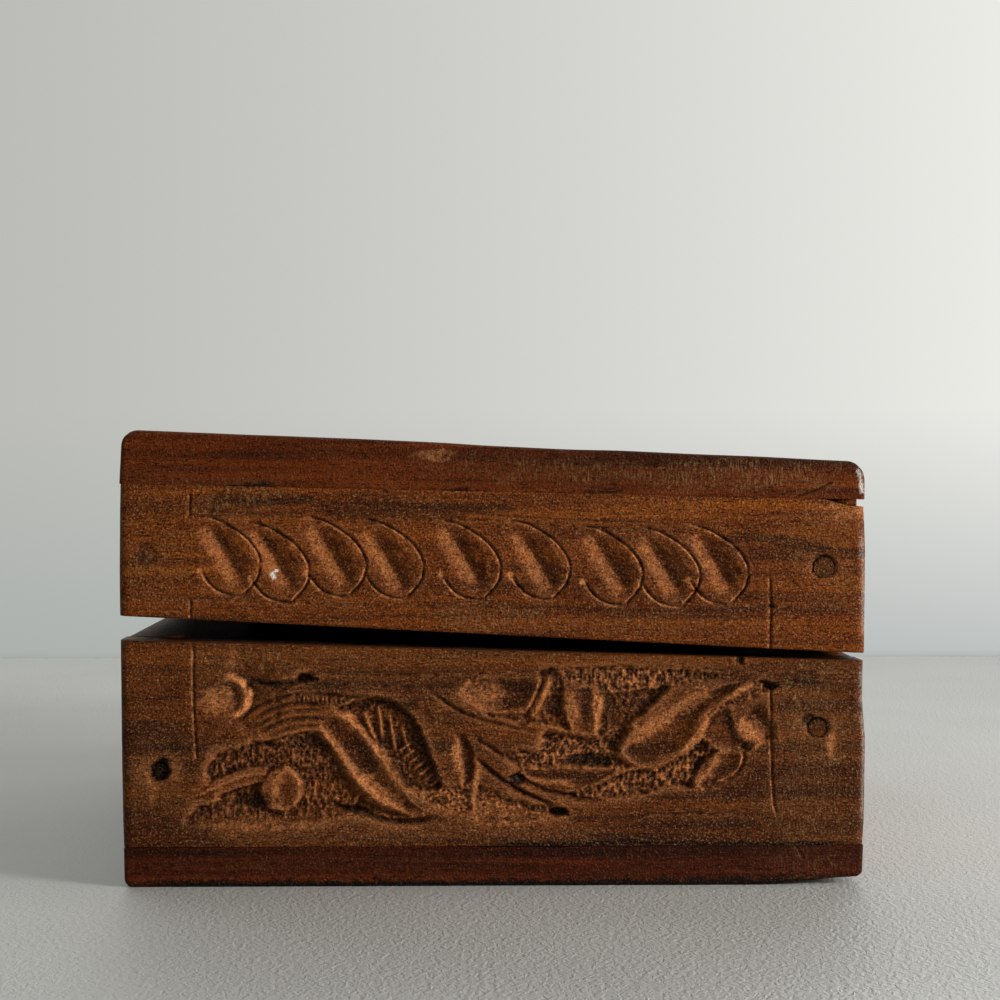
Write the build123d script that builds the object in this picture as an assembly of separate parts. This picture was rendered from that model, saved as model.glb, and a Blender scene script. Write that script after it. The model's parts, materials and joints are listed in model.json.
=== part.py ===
"""Hand-carved hardwood keepsake box with a hinged lid.

The box is glued up closed from four walls, a bottom board and a top board, and the walls are
pegged at the corners. The lid is then sawn off along a slightly sloping line, so the walls of
box and lid are two halves of the same boards. Two brass butt hinges lie on the sawn edge of the
back wall without a recess, and their proud screw heads hold the lid a little open.

Frame: origin at the centre of the underside, +Z up. The lid opens at the front edge (-X) and is
hinged at the back edge (+X). The carved right-hand end faces -Y. All sizes are in millimetres.

Round pegs, screws and the gouge's sweeps are many-sided, so that what repeats has few faces.
"""

from build123d import *
import math
import os

# ---------------------------------------------------------------- driving dimensions
box_width = 102.0  # front face to back face
box_length = 152.0  # end face to end face
wall_thickness = 8.0
bottom_thickness = 5.5
frame_height = 47.4  # walls as glued up, before the lid is sawn off
saw_height_front = 28.5  # lower edge of the saw cut above the bottom board, at the front face
saw_height_back = 25.4  # the same at the back face
saw_kerf = 0.8
top_thickness_front = 7.3  # the top board is thinner towards the hinges
top_thickness_back = 5.0

corner_radius = 1.3  # upright outer arrises
top_edge_radius = 2.2
bottom_edge_chamfer = 1.0
sawn_edge_chamfer = 0.4

lid_ajar_angle = 1.28  # degrees, where the proud screw heads stop the lid

peg_radius = 1.5  # to the corners
round_peg_sides = 12
peg_fit = 0.03  # radial gap between a peg and its hole
peg_length = 22.0
box_peg_front_height = 15.8  # peg centres above the underside
box_peg_back_height = 21.6
box_peg_front_inset = 1.3  # peg centres inwards from the middle of the side wall's thickness
box_peg_back_inset = 2.2
lid_peg_front_drop = 10.0  # peg centres below the top of the walls
lid_peg_back_drop = 9.5
lid_peg_front_inset = -0.9
lid_peg_back_inset = 1.6

hinge_length = 20.0
hinge_centre_inset = 40.0  # from each end face to the middle of the hinge
hinge_leaf_width = 6.5  # the part of a leaf that lies on the wood
hinge_leaf_thickness = 0.5
hinge_knuckle_count = 3  # odd: the box leaf has the outer ones
hinge_knuckle_radius = 1.4
hinge_knuckle_gap = 0.12  # along the pin, between two knuckles
hinge_wall_clearance = 0.3  # between knuckles and back wall
hinge_pin_radius = 0.75
hinge_pin_fit = 0.03

screw_length = 6.0
screw_shank_radius = 0.9
screw_head_radius = 1.6
screw_sides = 12
screw_head_height = 0.8
screw_slot_width = 0.5
screw_slot_depth = 0.35
screw_line = 3.4  # from the back face to the screw centres
screw_spacing = 10.0
screw_fit = 0.03
screw_stop_gap = 0.03  # between two facing heads where the lid stops

leaf_row_drop = 9.5  # centre line of the leaf row below the top of the walls
leaf_length = 10.0
leaf_depth = 0.9  # at the round end of a leaf; the hollow runs out at its tip
leaf_gouge_radius = 3.4  # of the gouge's sweep
gouge_sides = 20
stop_cut_sides = 12
leaf_lean = 50.0  # degrees between a leaf and the grain
leaf_pitch = 8.4
leaf_margin = 15.2  # from the wall's end to the first leaf centre
# The leaves of the right-hand end are spaced by eye: each one's shift from an even, centred row.
right_end_leaf_shifts = (-2.6, -4.3, -4.9, -5.3, -3.1, -2.0, -0.4, -1.0, -2.6)

# The vine on the box's walls is what stands when the ground round it is cut away. Each ground is a
# depth and the corners of its outline on the right-hand end: x along the wall, y above the underside.
vine_grounds = (
    (1.8, ((-42.4, 9.0), (-38.6, 12.3), (-33.3, 14.4), (-31.2, 11.0), (-28.4, 10.4), (-26.6, 13.2),
           (-28.4, 16.2), (-39.4, 14.6), (-39.6, 17.0), (-33.3, 19.8), (-23.9, 21.6), (-20.4, 16.9),
           (-11.1, 9.7), (-20.3, 9.0), (-34.0, 8.2))),
    (2.6, ((-19.0, 22.2), (-20.6, 25.0), (-16.4, 26.2), (-11.2, 23.6), (-8.3, 17.8), (-6.6, 13.4),
           (-11.6, 12.6), (-15.0, 17.1))),
    (1.2, ((-11.6, 12.4), (-6.2, 13.8), (-3.2, 13.6), (4.0, 11.6), (10.0, 10.4), (6.5, 8.7),
           (-4.6, 9.6))),
    (2.2, ((0.5, 18.5), (6.3, 19.4), (8.2, 21.5), (15.9, 20.6), (18.0, 20.6), (17.6, 18.2),
           (16.2, 15.9), (6.5, 15.9))),
    (2.0, ((9.3, 12.5), (18.9, 16.0), (23.3, 16.8), (29.0, 21.6), (31.2, 18.5), (27.8, 13.4),
           (18.9, 12.1))),
    (1.8, ((-0.3, 24.0), (4.3, 24.2), (6.0, 29.6), (20.0, 30.1), (30.4, 28.8), (22.6, 24.2),
           (18.4, 21.5), (15.4, 21.5), (14.8, 27.0), (10.6, 27.0), (10.2, 21.6), (5.2, 22.3))),
    (1.8, ((29.4, 23.4), (36.2, 28.4), (38.2, 27.4), (33.6, 24.2), (33.4, 21.6), (35.5, 18.7),
           (31.6, 18.7), (28.9, 21.0))),
)
# Hollows of the leaves and buds: tip and round end, depth, radius of the gouge's sweep.
vine_hollows = (
    ((-11.6, 11.0), (-21.6, 21.9), 1.3, 3.2),
    ((32.6, 26.6), (19.6, 18.2), 1.3, 4.2),
    ((-40.2, 25.2), (-33.0, 26.6), 0.9, 3.4),
    ((-31.4, 13.4), (-26.9, 13.2), 0.8, 2.4),
    ((-4.3, 13.9), (-4.2, 20.8), 0.8, 2.2),
    ((-5.2, 26.0), (5.4, 26.6), 1.0, 3.4),
    ((28.6, 14.6), (33.8, 17.2), 0.8, 2.6),
    ((35.4, 24.4), (35.9, 19.0), 0.8, 2.0),
)
side_vine_squeeze = 0.78  # a side wall has the vine twice, mirrored about its middle
side_vine_start = -43.5  # x of the end's vine that comes to the middle of a side wall
back_vine_drop = 1.2  # the back wall is lower

# ---------------------------------------------------------------- worked out from them
half_width = box_width / 2
half_length = box_length / 2
walls_top = bottom_thickness + frame_height
saw_front_z = bottom_thickness + saw_height_front
saw_back_z = bottom_thickness + saw_height_back
saw_slope = math.degrees(math.atan2(saw_front_z - saw_back_z, box_width))
wall_middle = wall_thickness / 2
side_wall_length = box_length - 2 * wall_thickness

# Plane of the box's sawn edge. Its origin is on the back face, its x runs outwards over the back.
sawn_plane = Plane(
    origin=(half_width, 0, saw_back_z),
    x_dir=(math.cos(math.radians(saw_slope)), 0, -math.sin(math.radians(saw_slope))),
    z_dir=(math.sin(math.radians(saw_slope)), 0, math.cos(math.radians(saw_slope))),
)
hinge_axis_offset = hinge_knuckle_radius + hinge_wall_clearance
hinge_axis = Axis(
    sawn_plane.from_local_coords(Vector(hinge_axis_offset, 0, hinge_leaf_thickness)), (0, 1, 0)
)
hinge_centre_y = half_length - hinge_centre_inset


def lid_pose(shape):
    """Takes a lid piece from where it was sawn to the hinges, standing ajar."""
    lift = 2 * hinge_leaf_thickness - saw_kerf
    return (Pos(sawn_plane.z_dir * lift) * shape).rotate(hinge_axis, lid_ajar_angle)


# ---------------------------------------------------------------- carving
def gouge_cut(length, depth, radius):
    """Cutter for one leaf on a face z=0, with the tip towards -X and the round end towards +X."""
    dip = math.degrees(math.atan2(depth, length))
    across = extrude(RegularPolygon(radius, gouge_sides, major_radius=False), length, both=True)
    sweep = Rot(0, 90 + dip, 0) * across
    stop_cut = extrude(RegularPolygon(length / 2, stop_cut_sides), 2 * radius, both=True)
    return (Pos(0, 0, radius - depth / 2) * sweep) & stop_cut


def leaf_row(face_plane, row_length, shifts=()):
    """Cutters for a row of leaves on a wall's outer face, whose plane has x along the wall."""
    count = int((row_length - 2 * leaf_margin) / leaf_pitch + 1.001)
    gouge = gouge_cut(leaf_length, leaf_depth, leaf_gouge_radius)
    first = -(count - 1) * leaf_pitch / 2
    cutters = []
    for number in range(count):
        shift = shifts[number] if number < len(shifts) else 0.0
        place = Pos(first + number * leaf_pitch + shift, walls_top - leaf_row_drop, 0)
        cutters.append(face_plane * place * Rot(0, 0, -leaf_lean) * gouge)
    return cutters


def vine(face_plane, squeeze=1.0, shift=0.0, drop=0.0):
    """Cutters for the vine on a wall's outer face, squeezed and shifted along the wall."""
    def on_wall(point):
        return squeeze * point[0] + shift, point[1] - drop

    cutters = []
    for depth, corners in vine_grounds:
        outline = make_face(Polyline(*[on_wall(corner) for corner in corners], close=True))
        cutters.append(face_plane * extrude(outline, depth, both=True))
    for tip, end, depth, radius in vine_hollows:
        (tip_x, tip_y), (end_x, end_y) = on_wall(tip), on_wall(end)
        middle = Pos((tip_x + end_x) / 2, (tip_y + end_y) / 2, 0)
        turn = Rot(0, 0, math.degrees(math.atan2(end_y - tip_y, end_x - tip_x)))
        length = math.hypot(end_x - tip_x, end_y - tip_y)
        cutters.append(face_plane * middle * turn * gouge_cut(length, depth, radius))
    return cutters


def side_vines(face_plane, drop=0.0):
    """The vine twice on a side wall, from the middle to each end."""
    shift = -side_vine_squeeze * side_vine_start
    half = vine(face_plane, side_vine_squeeze, shift, drop)
    return half + [cutter.mirror(Plane.XZ) for cutter in half]


# Outer faces of the four walls: x along the wall, y up, z outwards.
right_face = Plane(origin=(0, -half_length, 0), x_dir=(1, 0, 0), z_dir=(0, -1, 0))
left_face = Plane(origin=(0, half_length, 0), x_dir=(-1, 0, 0), z_dir=(0, 1, 0))
front_face = Plane(origin=(-half_width, 0, 0), x_dir=(0, -1, 0), z_dir=(-1, 0, 0))
back_face = Plane(origin=(half_width, 0, 0), x_dir=(0, 1, 0), z_dir=(1, 0, 0))


# ---------------------------------------------------------------- pegs
def peg_shape(place, grow=0.0):
    """A peg from an end face inwards, round or square, or with grow the hole that takes it."""
    start, direction, sides = place
    profile = RegularPolygon(peg_radius + grow, sides)
    base = Vector(start) - Vector(direction) * grow
    return Plane(origin=base, x_dir=(1, 0, 0), z_dir=direction) * extrude(
        profile, peg_length + 2 * grow
    )


def peg_places(front, back):
    """Start, direction and corners of the pegs through both end walls into the side walls.

    Front and back are each the peg's height, its inset from the middle of the side wall's
    thickness, and its number of sides.
    """
    places = []
    for side in (-1, 1):
        for x_sign, (z, inset, sides) in ((-1, front), (1, back)):
            x = x_sign * (half_width - wall_middle - inset)
            places.append(((x, side * half_length, z), (0, -side, 0), sides))
    return places


box_peg_places = peg_places(
    (box_peg_front_height, box_peg_front_inset, round_peg_sides),
    (box_peg_back_height, box_peg_back_inset, round_peg_sides),
)
lid_peg_places = peg_places(
    (walls_top - lid_peg_front_drop, lid_peg_front_inset, 4),
    (walls_top - lid_peg_back_drop, lid_peg_back_inset, round_peg_sides),
)
peg_holes = [peg_shape(place, peg_fit) for place in box_peg_places + lid_peg_places]


# ---------------------------------------------------------------- screws
# The heads stand proud of the leaves by as much as stops the lid at its ajar angle.
leaf_opening = (hinge_axis_offset + screw_line) * math.sin(math.radians(lid_ajar_angle))
screw_proud = (leaf_opening - screw_stop_gap) / 2


def screw_form(grow):
    """A countersunk screw pointing down with its head top at z=0, thicker all round by grow."""
    head_outline = RegularPolygon(screw_head_radius + grow, screw_sides, major_radius=False)
    shank_outline = RegularPolygon(screw_shank_radius + grow, screw_sides, major_radius=False)
    height = screw_head_height + grow
    taper = math.degrees(math.atan2(screw_head_radius - screw_shank_radius, height))
    head = Pos(0, 0, grow) * extrude(head_outline, height, dir=(0, 0, -1), taper=taper)
    shank = extrude(shank_outline, screw_length + grow, dir=(0, 0, -1))
    return head + shank


def screw():
    """A slotted screw."""
    slot = Pos(0, 0, -screw_slot_depth / 2) * Box(
        screw_slot_width, 3 * screw_head_radius, screw_slot_depth
    )
    return screw_form(0) - slot


def screw_places(surface_height, head_up):
    """Screw positions on the sawn plane, for both hinges, with the head up or down."""
    turn = Rot(0, 0, 0) if head_up else Rot(180, 0, 0)
    proud = screw_proud if head_up else -screw_proud
    return [
        Pos(-screw_line, side * hinge_centre_y + step * screw_spacing / 2, surface_height + proud)
        * turn
        for side in (-1, 1)
        for step in (-1, 1)
    ]


box_screw_places = screw_places(hinge_leaf_thickness, True)
lid_screw_places = screw_places(hinge_leaf_thickness, False)
box_screw_holes = [sawn_plane * place * screw_form(screw_fit) for place in box_screw_places]
# The lid's screws are placed on the hinge as it closes flat, the lid's walls as they were sawn.
sawn_to_closed = Pos(sawn_plane.z_dir * (2 * hinge_leaf_thickness - saw_kerf))
lid_screw_holes = [sawn_plane * place * screw_form(screw_fit) for place in lid_screw_places]
lid_screw_holes_as_sawn = [sawn_to_closed.inverse() * hole for hole in lid_screw_holes]


# ---------------------------------------------------------------- boards
def glued_wall(centre_x, centre_y, size_x, size_y):
    """One wall at its full height, as it stands before the lid is sawn off."""
    centre_z = bottom_thickness + frame_height / 2
    return Pos(centre_x, centre_y, centre_z) * Box(size_x, size_y, frame_height)


def end_wall(side):
    """An end wall, the full width of the box, with its two upright arrises rounded."""
    wall = glued_wall(0, side * (half_length - wall_middle), box_width, wall_thickness)
    outer = wall.edges().filter_by(Axis.Z).group_by(Axis.Y)[0 if side < 0 else -1]
    return fillet(outer, corner_radius)


def side_wall(side):
    """The front or back wall, which stands between the end walls."""
    return glued_wall(side * (half_width - wall_middle), 0, wall_thickness, side_wall_length)


def below_cut(wall):
    """The box's share of a wall."""
    return split(wall, bisect_by=sawn_plane, keep=Keep.BOTTOM)


def above_cut(wall):
    """The lid's share of a wall."""
    return split(wall, bisect_by=sawn_plane.offset(saw_kerf), keep=Keep.TOP)


def ease_sawn_edge(wall, outwards, at_top):
    """Breaks the arris along the saw cut on the outer face, which looks along outwards."""
    outer_edges = wall.faces().sort_by(outwards)[-1].edges()
    return chamfer(outer_edges.sort_by(Axis.Z)[-1 if at_top else 0], sawn_edge_chamfer)


def cut_all(board, cutters):
    """The board less each cutter that reaches it."""
    for cutter in cutters:
        board = board - cutter
    return board


def make_walls():
    """All eight wall pieces: name to shape, with the lid's pieces in their ajar pose."""
    right_leaves = leaf_row(right_face, box_width, right_end_leaf_shifts)
    back_vines = side_vines(back_face, back_vine_drop)
    raw = {
        "right_end": (end_wall(-1), -Axis.Y, right_leaves, vine(right_face)),
        "left_end": (end_wall(1), Axis.Y, leaf_row(left_face, box_width), vine(left_face)),
        "front_wall": (side_wall(-1), -Axis.X, leaf_row(front_face, box_length), side_vines(front_face)),
        "back_wall": (side_wall(1), Axis.X, leaf_row(back_face, box_length), back_vines),
    }
    walls = {}
    for name, (wall, outwards, leaves, vines) in raw.items():
        lower = cut_all(ease_sawn_edge(below_cut(wall), outwards, True), peg_holes + vines)
        upper = cut_all(ease_sawn_edge(above_cut(wall), outwards, False), peg_holes + leaves)
        if name == "back_wall":
            lower = cut_all(lower, box_screw_holes)
            upper = cut_all(upper, lid_screw_holes_as_sawn)
        walls["box_" + name] = lower
        walls["lid_" + name] = lid_pose(upper)
    return walls


def bottom_board():
    """The bottom board, the full size of the box."""
    board = Pos(0, 0, bottom_thickness / 2) * Box(box_width, box_length, bottom_thickness)
    board = fillet(board.edges().filter_by(Axis.Z), corner_radius)
    return chamfer(board.faces().sort_by(Axis.Z)[0].edges(), bottom_edge_chamfer)


def top_board():
    """The top board, thinner towards the back."""
    profile = Polyline(
        (-half_width, walls_top),
        (half_width, walls_top),
        (half_width, walls_top + top_thickness_back),
        (-half_width, walls_top + top_thickness_front),
        close=True,
    )
    board = extrude(Plane.XZ * make_face(profile), half_length, both=True)
    board = fillet(board.edges().filter_by(Axis.Z), corner_radius)
    return fillet(board.faces().sort_by(Axis.Z)[-1].edges(), top_edge_radius)


# ---------------------------------------------------------------- hinges
knuckle_pitch = hinge_length / hinge_knuckle_count


def leaf_plate(low_z):
    """The flat of a leaf on the wood, on the sawn plane, from low_z upwards."""
    return Pos(-hinge_leaf_width / 2, 0, low_z + hinge_leaf_thickness / 2) * Box(
        hinge_leaf_width, hinge_length, hinge_leaf_thickness
    )


def knuckle(number, low_z):
    """One knuckle and the tab that joins it to its leaf."""
    length = knuckle_pitch - hinge_knuckle_gap
    y = (number + 0.5) * knuckle_pitch - hinge_length / 2
    barrel = Pos(hinge_axis_offset, y, hinge_leaf_thickness) * Rot(90, 0, 0) * Cylinder(
        hinge_knuckle_radius, length
    )
    tab = Pos(hinge_axis_offset / 2, y, low_z + hinge_leaf_thickness / 2) * Box(
        hinge_axis_offset, length, hinge_leaf_thickness
    )
    return barrel + tab


def hinge_leaf(low_z, numbers):
    """A leaf with its knuckles, bored for the pin, centred on y=0 of the sawn plane."""
    leaf = leaf_plate(low_z)
    for number in numbers:
        leaf = leaf + knuckle(number, low_z)
    bore = Pos(hinge_axis_offset, 0, hinge_leaf_thickness) * Rot(90, 0, 0) * Cylinder(
        hinge_pin_radius + hinge_pin_fit, 2 * hinge_length
    )
    return leaf - bore


def hinge_pin():
    """The pin, as long as the hinge."""
    return Pos(hinge_axis_offset, 0, hinge_leaf_thickness) * Rot(90, 0, 0) * Cylinder(
        hinge_pin_radius, hinge_length
    )


def make_hinges():
    """Both hinges: name to shape, each in its place on the box."""
    box_numbers = range(0, hinge_knuckle_count, 2)
    lid_numbers = range(1, hinge_knuckle_count, 2)
    box_leaf = hinge_leaf(0, box_numbers)
    lid_leaf = hinge_leaf(hinge_leaf_thickness, lid_numbers)
    pieces = {}
    for name, y in (("right", -hinge_centre_y), ("left", hinge_centre_y)):
        place = sawn_plane * Pos(0, y, 0)
        lower = cut_all(place * box_leaf, box_screw_holes)
        upper = cut_all(place * lid_leaf, lid_screw_holes)
        pieces[name + "_hinge_box_leaf"] = lower
        pieces[name + "_hinge_lid_leaf"] = upper.rotate(hinge_axis, lid_ajar_angle)
        pieces[name + "_hinge_pin"] = place * hinge_pin()
    return pieces


# ---------------------------------------------------------------- all pieces
def make_pieces():
    """Every node of the box: name to shape."""
    pieces = make_walls()
    pieces["bottom_board"] = bottom_board()
    pieces["top_board"] = lid_pose(top_board())
    pieces["box_wall_pegs"] = Compound([peg_shape(place) for place in box_peg_places])
    pieces["lid_wall_pegs"] = lid_pose(Compound([peg_shape(place) for place in lid_peg_places]))
    pieces.update(make_hinges())
    pieces["box_leaf_screws"] = Compound(
        [sawn_plane * place * screw() for place in box_screw_places]
    )
    pieces["lid_leaf_screws"] = Compound(
        [sawn_plane * place * screw() for place in lid_screw_places]
    ).rotate(hinge_axis, lid_ajar_angle)
    return pieces


os.makedirs("parts", exist_ok=True)
for node, shape in make_pieces().items():
    export_step(shape, f"parts/{node}.step")
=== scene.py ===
"""Looks of the hand-carved hardwood keepsake box.

The ten boards and the pegs are rebuilt over their CAD nodes with the carving, worn arrises, cracks
and tool marks of the real wood; hinges and screws keep their CAD shapes. All sizes here are in
millimetres, in the frame of the CAD model, and are turned into metres when a mesh is made.
"""

import json
import math

import bpy
import numpy as np
from mathutils import Matrix, Vector


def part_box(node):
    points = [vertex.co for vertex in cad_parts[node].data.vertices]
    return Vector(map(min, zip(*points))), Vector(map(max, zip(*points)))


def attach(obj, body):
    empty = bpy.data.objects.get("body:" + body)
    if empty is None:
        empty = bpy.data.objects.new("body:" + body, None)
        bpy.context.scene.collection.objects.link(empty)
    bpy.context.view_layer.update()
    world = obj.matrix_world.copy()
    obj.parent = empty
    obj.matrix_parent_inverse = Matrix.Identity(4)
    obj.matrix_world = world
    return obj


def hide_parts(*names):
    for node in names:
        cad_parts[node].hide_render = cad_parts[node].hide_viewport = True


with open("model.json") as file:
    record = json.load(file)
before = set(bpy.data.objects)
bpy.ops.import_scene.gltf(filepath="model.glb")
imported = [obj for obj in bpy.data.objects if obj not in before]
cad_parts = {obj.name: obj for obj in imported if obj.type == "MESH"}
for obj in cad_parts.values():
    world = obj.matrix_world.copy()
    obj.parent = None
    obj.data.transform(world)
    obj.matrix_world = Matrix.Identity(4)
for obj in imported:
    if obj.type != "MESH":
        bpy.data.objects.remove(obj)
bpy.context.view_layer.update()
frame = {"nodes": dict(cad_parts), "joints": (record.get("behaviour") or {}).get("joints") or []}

MM = 0.001

# ---------------------------------------------------------------- sizes read from the frame
bottom_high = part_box("bottom_board")[1] / MM
front_low, front_high = (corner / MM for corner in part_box("box_front_wall"))
back_low, back_high = (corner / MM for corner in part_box("box_back_wall"))
hinge_axis = Vector(frame["joints"][0]["pos_m"]) / MM

half_width = bottom_high.x
half_length = bottom_high.y
wall = front_high.x - front_low.x
walls_bottom = bottom_high.z
saw_slope = (front_high.z - back_high.z) / (back_low.x - front_low.x)
saw_front = front_high.z

# ---------------------------------------------------------------- sizes that the frame doesn't give
saw_kerf = 0.8
walls_top = walls_bottom + 47.4
top_thickness_front = 7.3
top_thickness_back = 5.0
top_wear_allowance = 0.2  # the top board's upper face before its wear is taken off
lid_lift = 0.2  # along the normal of the sawn edge, by the hinge leaves
lid_ajar = math.radians(1.28)

arris = 1.3  # radius of the upright corners
sawn_arris = 0.4
seam_arris = 0.18  # where two boards meet in a glued seam
tight_seam_arris = 0.06
board_end_arris = 0.6  # of the top and bottom board, on their carved side
# Arrises along the two boards: lower left, lower right, upper left, upper right.
top_arrises = (0.1, 0.15, 2.2, 2.6)
bottom_arrises = (1.1, 1.1, 0.15, 0.15)

peg_radius = 1.62  # of the hole left for a peg's head
scribe_width = 0.32
scribe_depth = 0.34
scribe = {"raw": 1.1, "stain": 0.3, "fade": 0.03}  # its worn lip and the dirt in it, with painted highlight and shade

leaf_pitch = 8.6  # of the evenly spaced leaf rows
leaf_row_ends = 20.0  # length of a wall that its leaf row leaves free
leaf_row_drop = 9.3  # below the top of the walls
leaf_half_width = 4.3

side_vine_squeeze = 0.78  # a long side has the vine twice, a little shorter
side_vine_start = -43.5  # x of the end's vine that comes to the middle of a long side
back_vine_drop = 1.2  # of the carving on the low back wall


def sawn_height(x):
    """Height of the box's sawn edge, as glued up."""
    return saw_front - saw_slope * (x + half_width)


def lid_rest(x, z):
    """Where a point of the lid, as glued up, lies with the lid ajar on its screw heads."""
    slope = math.atan(saw_slope)
    x = x + lid_lift * math.sin(slope)
    z = z + lid_lift * math.cos(slope)
    run, rise = x - hinge_axis.x, z - hinge_axis.z
    return (
        hinge_axis.x + run * math.cos(lid_ajar) + rise * math.sin(lid_ajar),
        hinge_axis.z - run * math.sin(lid_ajar) + rise * math.cos(lid_ajar),
    )


# ---------------------------------------------------------------- numeric tools
def smoothstep(low, high, value):
    share = np.clip((value - low) / (high - low), 0.0, 1.0)
    return share * share * (3.0 - 2.0 * share)


def fading(along, fade):
    """A share of 1 that falls to 0 over the first and the last part of a line."""
    return smoothstep(0.0, fade, along) * smoothstep(0.0, fade, 1 - along)


def curve(points, steps=6):
    """A smooth line through the points."""
    p = np.array(points, float)
    p = np.vstack([2 * p[0] - p[1], p, 2 * p[-1] - p[-2]])
    t = np.arange(steps)[:, None] / steps
    parts = []
    for a, b, c, d in zip(p[:-3], p[1:-2], p[2:-1], p[3:]):
        cubic = (3 * (b - c) + d - a) * t**3 + (2 * a - 5 * b + 4 * c - d) * t**2
        parts.append(b + 0.5 * ((c - a) * t + cubic))
    parts.append(p[-2][None, :])
    return np.vstack(parts)


def distance_to(x, z, line):
    """Distance of each point to a line, its place along it from 0 to 1, its side and its facing.

    The side is 1 on the left of the line's way and -1 on its right. The facing is how far a slope
    that falls towards the line looks to the right, from -1 to 1.
    """
    lengths = np.hypot(*np.diff(line, axis=0).T)
    starts = np.concatenate([[0.0], np.cumsum(lengths)])
    best = np.full(x.shape, np.inf)
    along, side, facing = np.zeros(x.shape), np.ones(x.shape), np.zeros(x.shape)
    for (ax, az), (bx, bz), length, start in zip(line[:-1], line[1:], lengths, starts):
        dx, dz = bx - ax, bz - az
        share = np.clip(((x - ax) * dx + (z - az) * dz) / max(length * length, 1e-9), 0.0, 1.0)
        gap = np.hypot(x - ax - share * dx, z - az - share * dz)
        nearer = gap < best
        best = np.where(nearer, gap, best)
        along = np.where(nearer, (start + share * length) / starts[-1], along)
        side = np.where(nearer, np.sign(dx * (z - az) - dz * (x - ax)), side)
        facing = np.where(nearer, side * dz / max(length, 1e-9), facing)
    return best, along, side, facing


def within(x, z, outline):
    """True where a point lies inside a closed outline."""
    inside = np.zeros(x.shape, bool)
    for (ax, az), (bx, bz) in zip(outline, np.roll(outline, -1, axis=0)):
        if az != bz:
            crosses = (az > z) != (bz > z)
            inside ^= crosses & (x < (bx - ax) * (z - az) / (bz - az) + ax)
    return inside


def depth_inside(x, z, outline):
    """Distance to a closed outline, positive inside it."""
    gap = distance_to(x, z, np.vstack([outline, outline[:1]]))[0]
    return np.where(within(x, z, outline), gap, -gap)


def cells(x, z, cell_x, cell_z):
    """Places counted in cells, and the cell that each point lies in."""
    u, v = x / cell_x + 1000.0, z / cell_z + 1000.0
    i, j = np.floor(u).astype(int), np.floor(v).astype(int)
    return u, v, i, j


def value_noise(x, z, cell_x, cell_z, seed):
    """Smooth seeded noise from -1 to 1 with cells of the given size."""
    lattice = np.random.default_rng(seed).uniform(-1, 1, (256, 256))
    u, v, i, j = cells(x, z, cell_x, cell_z)
    fu, fv = u - i, v - j
    fu, fv = fu * fu * (3 - 2 * fu), fv * fv * (3 - 2 * fv)
    low = lattice[i % 256, j % 256] * (1 - fu) + lattice[(i + 1) % 256, j % 256] * fu
    high = lattice[i % 256, (j + 1) % 256] * (1 - fu) + lattice[(i + 1) % 256, (j + 1) % 256] * fu
    return low * (1 - fv) + high * fv


def punch_marks(x, z, pitch_x, pitch_z, seed):
    """Seeded dents of a hand-held punch: 0 in the middle of a dent, rising to 1 between dents."""
    points = np.random.default_rng(seed).uniform(0.1, 0.9, (64, 64, 2))
    u, v, i, j = cells(x, z, pitch_x, pitch_z)
    best = np.full(x.shape, 9.0)
    for di in (-1, 0, 1):
        for dj in (-1, 0, 1):
            spot = points[(i + di) % 64, (j + dj) % 64]
            best = np.minimum(best, np.hypot(u - i - di - spot[..., 0], v - j - dj - spot[..., 1]))
    return np.clip(best, 0.0, 1.0)


def blurred(grid, reach):
    """A grid averaged over a few neighbours each way, twice."""
    size = 2 * reach + 1
    for _ in range(2):
        for axis in (0, 1):
            padded = np.pad(grid, [(reach, reach) if a == axis else (0, 0) for a in (0, 1)], "edge")
            total = np.insert(np.cumsum(padded, axis=axis), 0, 0.0, axis=axis)
            ahead = np.take(total, range(size, total.shape[axis]), axis=axis)
            behind = np.take(total, range(0, total.shape[axis] - size), axis=axis)
            grid = (ahead - behind) / size
    return grid


# ---------------------------------------------------------------- objects
def linked(name, data):
    """A new object of the scene with this data."""
    made = bpy.data.objects.new(name, data)
    bpy.context.scene.collection.objects.link(made)
    return made


def mesh_object(name, points, faces, shares):
    """A new mesh from points in millimetres, with a named share from 0 to 1 at each point."""
    mesh = bpy.data.meshes.new(name)
    mesh.from_pydata((np.asarray(points, float) * MM).tolist(), [], faces)
    for title, values in shares.items():
        attribute = mesh.attributes.new(title, "FLOAT", "POINT")
        attribute.data.foreach_set("value", values.astype(np.float32))
    return linked(name, mesh)


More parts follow.
